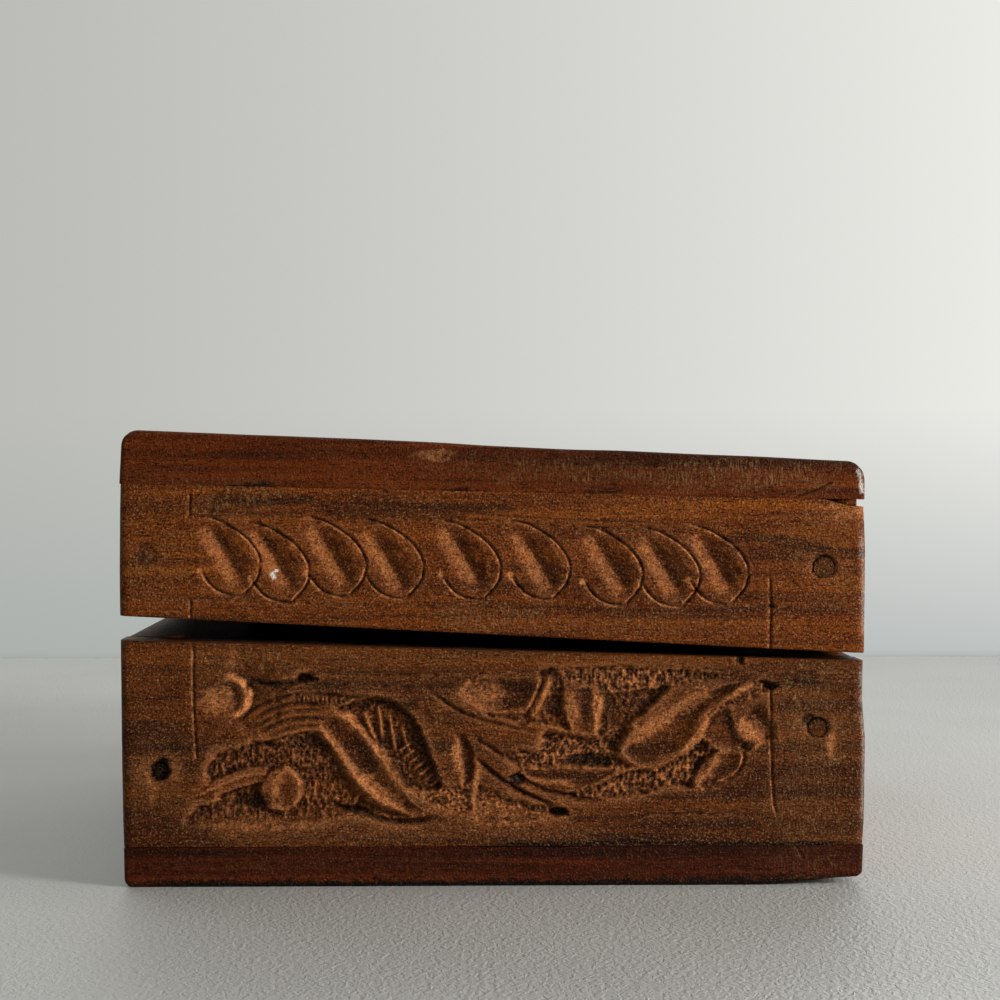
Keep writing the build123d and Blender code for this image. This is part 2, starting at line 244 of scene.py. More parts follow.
# ---------------------------------------------------------------- carving
class Relief:
    """The carved surface of one board's face.

    x and z are the places of its grid of points. height is in mm above the face; the raw wood,
    stain, dust and paint shares from 0 to 1 lay freshly cut wood with painted highlight, dark dirt
    with painted shade, pale dust, and white paint with painted highlight.
    """

    def __init__(self, x, z):
        self.x, self.z = x, z
        self.height, self.raw, self.stain, self.dust, self.paint = np.zeros((5, *x.shape))

    def near(self, points, margin):
        """Which points of the grid lie in the box around these points, and their places."""
        low, high = np.min(points, axis=0) - margin, np.max(points, axis=0) + margin
        at = (self.x > low[0]) & (self.x < high[0]) & (self.z > low[1]) & (self.z < high[1])
        return at, self.x[at], self.z[at]

    def near_oval(self, centre, size):
        """As near, for an oval, and how far out each point lies: 1 on the oval itself."""
        at, x, z = self.near([centre], max(size))
        return at, x, z, np.hypot((x - centre[0]) / size[0], (z - centre[1]) / size[1]) * 2

    def raise_share(self, name, at, value):
        share = getattr(self, name)
        share[at] = np.maximum(share[at], value)

    def recess(self, seed, outline, depth, wall_run, pitch, punch, raw, runs_out=None):
        """Ground cut away to a depth, with steep walls, and roughened with a punch.

        runs_out is the height at which the ground meets the face at its lower side, and its run.
        """
        line = curve(outline + outline[:1])[:-1]
        at, x, z = self.near(line, 0.6)
        waver = 0.22 * value_noise(x, z, 1.3, 1.3, seed + 40)
        waver = waver + 0.20 * value_noise(x, z, 0.4, 0.4, seed + 41)
        share = smoothstep(-0.1, wall_run, depth_inside(x, z, line) + waver)
        on_wall = 4 * share * (1 - share)
        if runs_out is not None:
            share = share * (0.3 + 0.7 * smoothstep(runs_out[0], runs_out[0] + runs_out[1], z))
        marks = punch_marks(x, z, *pitch, seed) - 0.55
        marks = marks + 0.35 * value_noise(x, z, 0.33, 0.33, seed + 9)
        rough = punch * marks * smoothstep(0.25, 0.8, share)
        floor = -depth * (1 + 0.15 * value_noise(x, z, 2.5, 2.5, seed + 5)) * share + rough
        self.height[at] = np.where(share > 0, np.minimum(self.height[at], floor), self.height[at])
        tops = np.clip(0.45 + 1.5 * marks, 0, 1)
        torn = 0.55 + 0.6 * value_noise(x, z, 0.5, 0.5, seed + 42)
        self.raise_share("raw", at, np.maximum(raw * tops * share, 0.6 * torn * on_wall))
        self.raise_share("stain", at, 0.28 * punch * share * (1 - tops))

    def leaf(self, left, right, rim, hollow, crest, valley, left_run, right_run):
        """A scooped leaf between two edges that run from its tip to its end.

        Across the leaf, from 0 at its left edge to 1 at its right one, its hollow falls from the
        crest to the valley and rises again to the right edge. Outside each edge the leaf falls
        to the ground over that side's run.
        """
        left, right = curve(left), curve(right)
        outline = np.vstack([left, right[::-1][1:-1]])
        at, x, z = self.near(outline, 1.3 * max(left_run, right_run))
        waver = 0.10 * value_noise(x, z, 0.9, 0.9, 61) + 0.07 * value_noise(x, z, 0.35, 0.35, 62)
        inside = depth_inside(x, z, outline) + waver
        to_left = distance_to(x, z, left)[0]
        to_right = distance_to(x, z, right)[0]
        across = to_left / np.maximum(to_left + to_right, 1e-6) + 0.25 * waver
        slope = smoothstep(crest, valley, across)
        scoop = slope * (1 - smoothstep(valley, 1.05, across) ** 1.4)
        scoop = scoop * smoothstep(0.4, 2.6, to_left + to_right)
        facets = 0.06 * value_noise(x, z, 1.6, 1.6, 63) + 0.04 * value_noise(x, z, 0.4, 0.4, 64)
        surface = rim - hollow * scoop + facets
        leftwards = to_left < to_right
        run = np.where(leftwards, left_run, right_run)
        fall = rim - 2.6 * np.maximum(-inside, 0) / run + 3.0 * facets
        before = self.height[at]
        self.height[at] = np.where(inside > 0, surface, np.maximum(before, fall))
        on_wall = (inside <= 0) & (fall > before)
        torn = 0.6 + 0.6 * value_noise(x, z, 0.5, 0.35, 65)
        # Painted highlight: the freshly cut walls outside the right edge, which face the light, and
        # the slope from the crest to the valley get bare-wood colour; the left walls get little.
        wall_raw_and_highlight = np.where(leftwards, 0.08, 0.9) * torn
        lit_slope_highlight = 0.6 * (4 * slope * (1 - slope)) ** 2
        self.raw[at] = np.where(inside > 0, lit_slope_highlight, np.where(on_wall, wall_raw_and_highlight, self.raw[at]))
        self.stain[at] = np.where(inside > 0, 0, np.where(on_wall, 0.5, 1) * self.stain[at])

    def cut(self, points, depth, left_run, right_run, raw=0.35, stain=0.1, fade=0.15):
        """A V cut along a line, with its own run on the left and on the right of its way."""
        line = curve(points)
        at, x, z = self.near(line, max(left_run, right_run))
        gap, along, side, facing = distance_to(x, z, line)
        gap = gap * (1 + 0.15 * value_noise(x, z, 0.8, 0.8, 81))
        run = np.where(side > 0, left_run, right_run)
        ends = fading(along, fade)
        share = np.clip(1 - gap / run, 0, 1)
        self.height[at] -= depth * share * (0.25 + 0.75 * ends)
        steep = np.clip(0.8 * depth / run, 0, 1)
        # Painted highlight: the cut's steep walls get bare-wood colour only where they face right,
        # towards the light.
        lit_wall_highlight = np.clip(0.6 + 0.6 * facing, 0, 1) * np.clip(3 * share, 0, 1)
        lit_wall_highlight = lit_wall_highlight * np.clip(0.55 + 0.8 * value_noise(x, z, 0.7, 0.7, 82), 0, 1)
        self.raise_share("raw", at, raw * steep * ends * lit_wall_highlight)
        # Painted shade: the dark share grows on the wall that faces left, away from the light.
        self.raise_share("stain", at, stain * ends * share * np.clip(0.75 - 0.5 * facing, 0, 1))

    def hollow(self, points, width, depth):
        """A round-bottomed gouge cut along a line, or a ridge where its depth is negative."""
        line = curve(points)
        at, x, z = self.near(line, width)
        gap, along = distance_to(x, z, line)[:2]
        ends = fading(along, 0.3)
        round_cut = 0.5 + 0.5 * np.cos(np.pi * np.clip(2 * gap / width, 0, 1))
        self.height[at] -= depth * round_cut * ends
        if depth < 0:
            self.raise_share("raw", at, 0.8 * round_cut * ends)

    def mark(self, points, width, share, name="stain"):
        """A mark along a line with a soft uneven edge, by its name: dirt and painted shade, bare
        wood and painted highlight, or white paint and painted highlight.
        """
        line = curve(points)
        at, x, z = self.near(line, width)
        gap, along = distance_to(x, z, line)[:2]
        uneven = gap * (1 + 0.5 * value_noise(x, z, 0.9, 0.35, 71))
        uneven = uneven + 0.12 * width * value_noise(x, z, 0.4, 0.25, 72)
        soft = 1 - smoothstep(0.15 * width, 0.5 * width, uneven)
        self.raise_share(name, at, share * fading(along, 0.1) * soft)

    def pit(self, centre, size, depth, stain=0.9, raw=0.0, seed=3):
        """A ragged hole or chip of the given width and height."""
        at, x, z, reach = self.near_oval(centre, size)
        ragged = reach * (1 + 0.3 * value_noise(x, z, 0.8, 0.5, seed))
        share = 1 - smoothstep(0.5, 1.05, ragged)
        self.height[at] -= depth * share
        self.raise_share("stain", at, stain * share)
        self.raise_share("raw", at, raw * share)

    def patch(self, centre, size, dust, rough=0.0, stain=0.0, raw=0.0, seed=5):
        """A worn area with ragged edges: dusty, roughened, darkened with dirt and painted shade, or
        lightened with raw wood and painted highlight.
        """
        at, x, z, reach = self.near_oval(centre, size)
        ragged = reach + 0.35 * value_noise(x, z, 2.5, 1.2, seed)
        ragged = ragged + 0.2 * value_noise(x, z, 0.6, 0.5, seed + 1)
        share = 1 - smoothstep(0.55, 1.15, ragged)
        speckle = 0.5 + 0.5 * value_noise(x, z, 0.4, 0.3, seed + 2)
        self.height[at] -= rough * share * speckle
        self.raise_share("dust", at, dust * share)
        self.raise_share("stain", at, stain * share * speckle)
        self.raise_share("raw", at, raw * share * (1 - speckle))

    def peg(self, centre, radius, square=False, dirt_and_shade=0.7, depth=0.6):
        """The mouth of a peg's hole, with the dirt that gathers round the peg's head and painted
        shade that darkens its ring's upper side.
        """
        at, x, z = self.near([centre], 2.2 * radius)
        x, z = x - centre[0], z - centre[1]
        reach = (np.abs(x) + np.abs(z)) / 1.25 if square else np.hypot(x, z)
        reach = reach * (1 + 0.05 * value_noise(x, z, 0.7, 0.7, 15))
        self.height[at] -= depth * (1 - smoothstep(radius - 0.1, radius + 0.05, reach))
        ring = np.clip(1 - np.abs(reach - radius - 0.05) / 0.32, 0, 1)
        shade = dirt_and_shade * (0.65 + 0.35 * z / radius + 0.3 * value_noise(x, z, 1.0, 1.0, 16))
        self.raise_share("stain", at, np.clip(shade, 0, 1) * ring)


# The leaf row of the lid. Each leaf is given by the rightmost point of its outer cut.
lid_leaves = [
    (-31.8, 44.5),
    (-25.1, 43.6),
    (-17.3, 44.4),
    (-9.4, 44.1),
    (1.2, 43.9),
    (10.7, 43.9),
    (20.7, 43.1),
    (28.6, 42.9),
    (35.3, 43.2),
]
# The cuts of one leaf, counted from that point.
leaf_outer_cut = [(-8.6, 6.6), (-5.7, 5.9), (-2.8, 4.2), (-1.3, 2.8), (-0.2, 1.0), (0.0, -0.5)]
leaf_outer_end = [(0.0, -0.5), (-0.3, -1.8), (-1.1, -3.0), (-2.3, -4.2)]
leaf_hook_cut = [(-8.0, -1.2), (-7.2, -2.4), (-6.0, -3.6), (-4.2, -4.3), (-2.2, -4.4)]
leaf_scoop = [(-7.4, 5.2), (-6.0, 3.2), (-4.8, 1.2), (-3.6, -0.8), (-2.1, -3.2)]


def shifted(points, place):
    return [(x + place[0], z + place[1]) for x, z in points]


def leaf_row(relief, places):
    """The lid's row of gouged leaves: a thumb-nail cut round each leaf and a scoop down it."""
    rng = np.random.default_rng(6)
    for place in places:
        scoop = shifted(leaf_scoop, place + rng.uniform(-0.35, 0.35, 2))
        relief.cut(scoop, rng.uniform(0.95, 1.1), 2.9, 1.9, raw=1.0, stain=0.0, fade=0.3)
        # Painted shade along the scoop's right side and painted highlight along its left side.
        relief.mark(shifted(scoop, (0.9, 0.1)), 1.4, 0.42)
        relief.mark(shifted(scoop, (-0.9, 0.1)), 2.2, 0.4, name="raw")
        relief.cut(shifted(leaf_outer_cut, place), 0.5, 0.26, 0.30, raw=2.6, stain=1.15)
        relief.cut(shifted(leaf_outer_end, place), 0.5, 0.26, 0.30, raw=2.6, stain=1.15, fade=0.05)
        relief.cut(shifted(leaf_hook_cut, place), 0.55, 0.3, 0.34, raw=2.6, stain=1.1)
        # A painted highlight where the hook cut starts.
        relief.pit((place[0] - 8.2, place[1] - 1.2), (1.1, 1.3), 0.05, stain=0.0, raw=0.8)


# The vine of the box, seen on the right-hand end: x to the right, z up. Each ground is an outline,
# a depth, the run of its walls, the punch's pitch along and up, the depth of its marks, bare wood
# with painted highlight and, where it has one, the run-out that Relief.recess takes.
ground_areas = [
    (   # around the lower bud
        [(-39.6, 17.0), (-37.1, 18.9), (-33.3, 19.8), (-28.5, 20.6), (-23.9, 21.6),
         (-20.9, 19.9), (-18.2, 16.1), (-14.8, 12.6), (-11.1, 9.7), (-13.4, 8.9),
         (-16.8, 9.6), (-20.3, 9.4), (-23.0, 8.9), (-26.4, 8.3), (-29.9, 8.0),
         (-34.0, 8.2), (-38.1, 8.2), (-41.8, 8.3), (-42.4, 9.6), (-40.7, 11.2),
         (-38.1, 12.1), (-39.3, 14.8)],
        1.3, 0.8, (0.5, 1.1), 0.5, 0.45, (8.0, 3.5),
    ),
    (   # deep pocket right of the long leaf
        [(-21.6, 24.6), (-19.5, 25.6), (-16.4, 26.2), (-13.4, 25.7), (-11.2, 23.6),
         (-9.3, 21.1), (-8.3, 17.8), (-7.2, 14.9), (-6.6, 13.4), (-9.0, 12.8),
         (-12.0, 13.6), (-14.8, 16.8), (-17.9, 20.5), (-20.9, 23.2)],
        1.5, 0.8, (0.6, 0.45), 0.4, 0.3,
    ),
    (   # foot of the pocket
        [(-12.2, 13.2), (-9.0, 13.7), (-6.2, 14.0), (-3.4, 13.6), (-2.6, 12.4),
         (-2.6, 10.4), (-4.6, 10.0), (-7.8, 10.9), (-10.4, 12.0)],
        0.4, 0.5, (0.6, 0.4), 0.35, 1.25,
    ),
    (   # lower middle
        [(-2.5, 14.6), (-0.3, 13.7), (2.1, 12.6), (5.9, 11.5), (10.0, 10.9),
         (9.8, 9.4), (6.5, 8.7), (1.7, 8.3), (-2.0, 8.6), (-2.8, 11.9)],
        0.7, 0.8, (0.5, 0.6), 0.32, 1.2, (8.5, 3.5),
    ),
    (   # middle
        [(0.5, 18.5), (3.3, 19.0), (6.3, 19.4), (6.7, 21.0), (8.2, 21.5),
         (11.4, 21.1), (14.8, 20.7), (16.5, 21.9), (18.9, 22.3), (21.0, 19.4),
         (20.3, 16.2), (16.2, 15.7), (11.4, 16.0), (6.5, 15.9), (3.8, 16.4),
         (1.9, 17.2)],
        1.3, 0.9, (0.6, 0.5), 0.4, 1.0,
    ),
    (   # lower right
        [(9.3, 12.5), (12.1, 13.6), (15.5, 14.7), (18.9, 16.0), (22.4, 16.5),
         (25.6, 17.9), (27.6, 19.5), (29.0, 20.7), (30.8, 19.0), (31.6, 18.4),
         (30.0, 16.7), (28.6, 14.8), (27.5, 13.2), (24.7, 13.5), (22.0, 12.9),
         (18.9, 12.1), (14.8, 12.0), (11.4, 12.0)],
        1.1, 0.7, (0.6, 1.0), 0.42, 1.15,
    ),
    (   # wedge left of the right leaf
        [(30.1, 24.1), (32.4, 24.6), (33.1, 22.8), (34.1, 20.7), (35.5, 18.7),
         (33.8, 18.4), (31.1, 18.7), (28.9, 20.1), (29.1, 22.3)],
        0.6, 0.9, (1.2, 1.2), 0.15, 0.1,
    ),
    (   # top strip
        [(9.4, 28.9), (10.2, 29.8), (14.8, 30.0), (21.0, 30.1), (27.2, 29.7),
         (33.5, 28.9), (31.0, 28.5), (27.4, 28.0), (24.0, 27.5), (20.3, 26.9), (17.0, 26.5),
         (14.4, 26.2), (14.0, 27.4), (11.6, 27.7), (10.0, 27.3)],
        0.7, 0.5, (0.5, 1.4), 0.4, 1.1,
    ),
    (   # left of the great leaf's flank
        [(14.0, 26.6), (17.0, 27.0), (20.6, 27.3), (24.4, 27.6), (22.6, 25.0),
         (20.0, 22.8), (18.0, 20.6), (15.9, 20.6), (14.4, 20.9), (13.8, 23.6)],
        1.2, 0.6, (0.7, 1.2), 0.35, 0.15,
    ),
    (   # left of the post
        [(6.0, 29.6), (8.2, 30.0), (9.6, 29.2), (10.0, 27.4), (9.9, 25.0),
         (10.7, 21.6), (8.6, 21.9), (5.2, 22.3), (1.2, 22.9), (-1.1, 23.5),
         (-0.3, 24.0), (2.4, 24.0), (4.2, 24.2), (5.2, 25.4), (6.2, 27.6)],
        0.9, 0.5, (0.6, 1.1), 0.3, 0.4,
    ),
    (   # channel at the top right
        [(34.1, 26.9), (36.2, 28.4), (38.2, 28.0), (38.0, 26.5), (35.8, 25.6),
         (33.4, 24.6), (31.1, 23.8), (29.4, 23.4), (29.7, 24.5), (32.2, 25.6)],
        0.6, 0.5, (0.6, 0.6), 0.35, 1.2,
    ),
    (   # hole above the vine
        [(-27.2, 28.1), (-26.7, 29.3), (-25.3, 29.6), (-24.2, 29.0), (-23.6, 28.4),
         (-25.6, 27.9)],
        1.6, 0.6, (0.8, 0.8), 0.3, 0.0,
    ),
]

# Each leaf: left edge, right edge, rim, hollow, crest, valley, left run and right run.
vine_leaves = {
    "stem": (
        [(-41.9, 12.2), (-39.9, 13.6), (-37.1, 15.0), (-34.0, 16.1), (-31.0, 16.3)],
        [(-41.9, 12.2), (-39.6, 11.9), (-36.6, 13.0), (-33.3, 14.1), (-31.0, 14.6)],
        -0.3, 0.25, 0.2, 0.6, 0.8, 0.6,
    ),
    "lower bud": (
        [(-28.5, 16.1), (-30.5, 15.6), (-31.6, 13.9), (-31.6, 12.3), (-30.5, 10.9), (-28.6, 10.5)],
        [(-28.5, 16.1), (-27.1, 15.3), (-26.6, 13.6), (-26.8, 12.2), (-27.5, 11.2), (-28.6, 10.5)],
        -0.15, 0.2, 0.2, 0.6, 1.4, 1.0,
    ),
    "long leaf": (
        [(-23.9, 22.7), (-23.2, 21.0), (-21.8, 19.0), (-20.4, 16.9), (-18.9, 14.7), (-17.3, 12.9),
         (-15.1, 11.4), (-11.1, 9.7)],
        [(-23.9, 22.7), (-21.5, 23.6), (-19.0, 22.2), (-17.0, 19.8), (-15.0, 17.1), (-13.5, 14.5),
         (-11.6, 12.2), (-9.4, 10.3), (-11.1, 9.7)],
        0.0, 0.75, 0.0, 0.34, 2.4, 1.6,
    ),
    "small leaf": (
        [(-5.5, 21.3), (-6.2, 19.1), (-6.2, 16.9), (-5.4, 14.7), (-4.2, 13.3)],
        [(-5.5, 21.3), (-3.9, 20.9), (-2.6, 18.8), (-2.5, 16.6), (-2.9, 14.6), (-4.2, 13.3)],
        -0.1, 0.5, 0.3, 0.7, 1.2, 0.8,
    ),
    "upper leaf": (
        [(-3.1, 28.5), (-4.9, 27.5), (-5.4, 26.0), (-3.9, 24.7), (-1.4, 24.1)],
        [(-3.1, 28.5), (1.1, 28.6), (5.7, 28.6), (6.2, 27.6), (5.2, 25.4), (4.3, 24.2),
         (1.7, 24.0), (-1.4, 24.1)],
        0.0, 0.7, 0.0, 0.75, 0.8, 1.6,
    ),
    "post": (
        [(11.0, 27.0), (9.9, 25.6), (10.1, 23.4), (10.8, 21.5)],
        [(11.0, 27.0), (12.6, 27.4), (13.6, 27.0), (13.9, 24.0), (13.6, 21.3), (10.8, 21.5)],
        -0.1, 0.2, 0.1, 0.65, 0.5, 1.6,
    ),
    "great leaf": (
        [(17.6, 18.2), (18.0, 19.6), (19.8, 21.6), (22.6, 23.7), (25.6, 25.6), (29.0, 27.4),
         (31.6, 28.2), (34.8, 28.3)],
        [(17.6, 18.2), (20.3, 16.5), (23.3, 17.0), (25.8, 18.7), (27.5, 20.6), (28.9, 23.4),
         (32.2, 25.7), (34.8, 28.3)],
        -0.05, 0.8, 0.1, 0.5, 2.4, 1.6,
    ),
    "last leaf": (
        [(31.2, 18.5), (29.4, 17.0), (28.2, 15.1), (27.8, 13.4), (29.4, 12.9)],
        [(31.2, 18.5), (34.0, 18.3), (34.0, 16.4), (32.9, 15.2), (30.8, 14.0), (29.4, 12.9)],
        -0.05, 0.5, 0.05, 0.6, 1.4, 0.8,
    ),
    "trailing leaf": (
        [(4.3, 16.0), (4.1, 15.2), (4.9, 14.3), (7.2, 13.5), (11.4, 13.2)],
        [(4.3, 16.0), (9.3, 16.0), (13.4, 16.0), (16.9, 16.0), (14.8, 14.6), (11.4, 13.2)],
        -0.5, 0.35, 0.1, 0.6, 0.6, 0.6,
    ),
}

first_bud_wall = [(-36.7, 29.6), (-34.9, 29.1), (-33.6, 28.0), (-32.9, 26.5), (-33.2, 24.9),
                  (-34.1, 23.6), (-35.6, 22.4)]
first_bud_scoop = [(-36.8, 28.6), (-35.6, 26.8), (-35.2, 25.0), (-35.8, 23.4)]
wall_ridge = [(0.0, 0.0), (1.0, 0.6), (2.0, 1.4)]
last_leaf_rim = [(31.1, 18.6), (34.4, 18.3), (34.2, 16.3), (33.0, 15.0), (30.6, 13.9)]

# Cuts of the vine: line, depth, run on the left and on the right of its way, dirt and painted shade
# in it.
vine_cuts = {
    "above the vine": (
        [(-33.2, 28.4), (-31.6, 27.9), (-29.1, 27.9), (-26.7, 28.2)], 0.8, 0.6, 0.5, 1.2,
    ),
    "upper stem": (
        [(-8.6, 27.0), (-7.2, 25.8), (-5.8, 24.8), (-3.8, 23.7), (-1.7, 22.9), (1.1, 22.2),
         (3.8, 21.6), (7.2, 21.4)], 0.6, 0.5, 0.4, 0.1,
    ),
    "lower stem": (
        [(-2.5, 20.8), (-1.7, 19.9), (-0.3, 19.0), (1.0, 18.1), (2.7, 17.2), (3.9, 16.3)],
        0.6, 0.5, 0.4, 0.1,
    ),
    "edge of the trailing leaf": (
        [(3.8, 16.3), (3.7, 15.3), (4.6, 14.3), (6.5, 13.5), (9.3, 12.8), (12.1, 12.1),
         (15.1, 11.8)], 0.9, 0.4, 0.6, 0.2,
    ),
    "under the stem": (
        [(-2.0, 17.4), (-0.3, 16.0), (1.7, 14.4), (3.8, 13.2), (6.5, 11.9), (8.7, 11.0)],
        1.0, 0.4, 0.6, 0.5,
    ),
    "under the long leaf": (
        [(-22.3, 11.5), (-20.3, 10.6), (-18.2, 10.4), (-15.5, 9.3), (-12.7, 8.9), (-10.2, 9.0),
         (-8.2, 9.4)], 1.1, 0.6, 0.5, 0.9,
    ),
    "first strand": (
        [(-32.9, 23.1), (-30.7, 24.3), (-28.2, 25.1), (-25.8, 25.2), (-23.0, 25.1)],
        0.6, 0.4, 0.5, 0.35,
    ),
    "second strand": (
        [(-32.6, 22.2), (-29.8, 23.6), (-27.0, 24.2), (-23.3, 24.3)], 0.6, 0.35, 0.5, 0.4,
    ),
    "third strand": (
        [(-31.9, 21.5), (-28.9, 22.8), (-25.8, 23.2), (-23.0, 23.1)], 0.65, 0.35, 0.45, 0.6,
    ),
    "fourth strand": ([(-30.7, 20.9), (-27.6, 21.9), (-24.2, 22.2)], 0.6, 0.35, 0.5, 0.45),
    "over the lower ground": (
        [(-33.6, 19.9), (-31.0, 19.9), (-28.2, 20.7), (-24.8, 21.4)], 0.6, 0.3, 0.4, 0.8,
    ),
    "valley of the right leaf": ([(35.4, 24.2), (37.6, 22.0), (38.0, 19.6)], 0.95, 1.6, 2.8, 0.0),
    "under the left stem": ([(-41.6, 11.3), (-36.7, 12.8), (-33.3, 14.1)], 0.5, 0.3, 0.4, 0.2),
    "top of the hatching": (
        [(-35.3, 22.5), (-32.9, 24.6), (-29.5, 26.0), (-25.8, 26.6), (-21.4, 26.3), (-16.8, 25.6)],
        0.5, 0.4, 0.5, 0.4,
    ),
    "arch over the vine": ([(-23.6, 28.3), (-16.0, 27.7), (-8.6, 27.6)], 0.25, 0.3, 0.4, 0.2),
}

# Dark corners of the carving, dirt and painted shade: centre, width and height, depth, darkness.
vine_pits = [
    ((3.4, 14.8), (2.6, 2.2), 0.7, 0.9),
    ((8.9, 10.2), (2.8, 1.4), 1.2, 0.98),
    ((6.8, 10.6), (4.6, 1.6), 0.3, 0.5),
    ((13.2, 17.2), (8.5, 2.0), 0.5, 0.85),
    ((17.0, 19.6), (3.6, 3.0), 0.2, 0.4),
    ((38.4, 27.4), (2.4, 1.2), 0.6, 0.8),
    ((4.2, 22.4), (2.0, 0.8), 0.4, 0.4),
    ((-12.0, 24.8), (5.0, 1.6), 0.3, 0.55),
    ((-17.6, 24.6), (2.0, 1.2), 0.3, 0.6),
    ((-24.8, 19.4), (6.0, 3.0), 0.2, 0.4),
    ((-33.0, 11.8), (6.0, 2.4), 0.4, 0.75),
    ((35.2, 19.2), (2.2, 1.8), 0.3, 0.8),
    ((28.8, 16.8), (2.6, 2.4), 0.3, 0.5),
    ((8.8, 24.8), (2.6, 4.8), 0.1, 0.35),
    ((16.0, 23.0), (3.4, 5.0), 0.1, 0.35),
]
# Dirt and painted shade along lines: line, width, share.
shade_and_dirt_strokes = [
    ([(-16.6, 26.0), (-13.6, 25.2), (-11.4, 23.2), (-8.8, 18.4), (-7.2, 13.9)], 1.7, 0.75),
    ([(-29.0, 28.3), (-24.0, 28.0), (-20.0, 27.2)], 1.2, 0.6),
    ([(-22.0, 24.9), (-19.4, 26.0), (-16.6, 26.5)], 0.8, 0.7),
    ([(12.9, 26.6), (12.8, 24.0), (12.9, 21.6)], 0.8, 0.5),
    ([(14.6, 21.0), (17.0, 20.8), (18.6, 22.0)], 1.2, 0.5),
    ([(-19.4, 21.6), (-17.4, 18.8), (-15.6, 16.6)], 2.0, 0.45),
    ([(32.2, 24.6), (33.0, 21.8), (34.6, 19.4)], 1.2, 0.6),
    ([(-19.6, 10.3), (-15.5, 9.2), (-11.0, 8.8)], 0.7, 0.7),
]
# Ridges left standing: line, width and height.
chisel_ridges = [
    ([(-17.9, 24.4), (-17.2, 22.6), (-15.8, 19.4)], 1.0, 0.8),
    ([(-15.9, 25.4), (-15.4, 22.6), (-15.2, 19.6)], 0.8, 0.8),
    ([(-14.2, 24.4), (-13.8, 21.0), (-13.2, 17.8)], 0.7, 0.6),
    ([(-12.6, 22.6), (-12.0, 20.0), (-11.0, 17.6)], 0.6, 0.5),
    ([(-2.3, 17.7), (-2.0, 15.7), (-2.3, 14.0), (-2.7, 12.2), (-2.7, 10.2)], 1.2, 1.2),
    ([(8.2, 29.6), (7.1, 26.6), (6.0, 24.4), (5.0, 22.6)], 1.9, 0.9),
    ([(14.8, 26.9), (14.5, 24.0), (14.2, 20.8)], 1.8, 1.0),
    ([(25.6, 18.0), (27.6, 19.8), (29.2, 22.0), (29.9, 24.0)], 1.5, 0.7),
    ([(30.6, 25.0), (33.4, 26.5), (36.6, 28.0)], 1.3, 0.7),
]
# Painted highlights in the colour of bare wood: centre, width and height, share.
painted_highlight_places = [
    ((-37.7, 25.6), (6.4, 4.6), 0.5),
    ((-0.6, 26.2), (5.4, 4.4), 0.55),
    ((29.6, 15.2), (2.6, 3.0), 0.7),
    ((-30.0, 8.6), (20.0, 2.4), 0.4),
    ((0.0, 10.6), (18.0, 4.6), 0.45),
    ((-37.6, 18.6), (3.4, 3.0), 0.6),
]
# The same along lines: line, width, share.
painted_highlight_strokes = [
    ([(-40.0, 25.2), (-37.6, 25.8), (-35.4, 26.0)], 4.4, 0.45),
    ([(-2.6, 25.6), (-0.6, 26.4), (1.4, 26.8)], 4.0, 0.55),
    ([(-23.2, 21.8), (-20.6, 18.2), (-18.2, 15.0)], 1.5, 0.6),
    ([(-18.6, 15.4), (-16.0, 13.2), (-13.4, 11.6), (-12.2, 10.8)], 3.0, 0.75),
    ([(-5.4, 19.8), (-4.9, 17.6), (-4.6, 15.6)], 1.6, 0.7),
    ([(14.9, 27.0), (14.7, 24.0), (14.4, 21.0)], 1.7, 0.9),
    ([(10.4, 25.0), (10.8, 22.6)], 1.6, 0.3),
    ([(19.0, 20.0), (22.4, 22.6), (26.6, 25.0), (30.6, 26.8)], 2.4, 0.5),
    ([(33.8, 22.8), (35.6, 21.0), (37.0, 19.0)], 3.4, 0.6),
]


def vine(relief):
    """The foliate vine: ground cut away around scooped leaves, and stems drawn with V cuts."""
    relief.cut(first_bud_wall, 1.2, 4.6, 1.0, raw=2.6, stain=0.0)
    relief.cut(first_bud_scoop, 0.6, 1.7, 4.0, raw=0.8, stain=0.0, fade=0.3)
    for seed, area in enumerate(ground_areas):
        relief.recess(seed + 11, *area)
    for points, width, height in chisel_ridges:
        relief.hollow(points, width, -height)
    for step in np.linspace(0, 1, 7):  # short ridges down the pocket's right wall
        foot = (-13.1 + 4.0 * step, 18.4 - 5.0 * step)
        relief.hollow(shifted(wall_ridge, foot), 0.6, -0.5)
    relief.hollow([(-32.0, 26.6), (-29.6, 27.2), (-26.4, 27.4), (-22.4, 27.4)], 1.6, 0.3)
    for edges_and_sizes in vine_leaves.values():
        relief.leaf(*edges_and_sizes)
    relief.cut(last_leaf_rim, 0.5, 0.45, 0.35, raw=1.2)
    for centre, size, share in painted_highlight_places:
        relief.patch(centre, size, 0.0, raw=share)
    for points, width, share in painted_highlight_strokes:
        relief.mark(points, width, share, name="raw")
    for centre, size, depth, dirt_and_shade in vine_pits:
        relief.pit(centre, size, depth, stain=dirt_and_shade)
    for points, width, dirt_and_shade in shade_and_dirt_strokes:
        relief.mark(points, width, dirt_and_shade)
    for points, depth, left_run, right_run, dirt_and_shade in vine_cuts.values():
        relief.cut(points, depth, left_run, right_run, raw=0.5, stain=dirt_and_shade)
    for number, start in enumerate(np.arange(-27.0, -20.0, 0.42)):  # hatching above the long leaf
        lean = 0.25 * math.sin(2.1 * number)
        relief.cut([(start, 26.5), (start + 0.2 + lean, 25.3)], 0.4, 0.14, 0.18, raw=0.6, stain=0.3)
    relief.height = np.minimum(relief.height, 0.05)


# ---------------------------------------------------------------- boards
edge_room = 1.1  # of an edge's radius: what its rounding takes up of the board's face


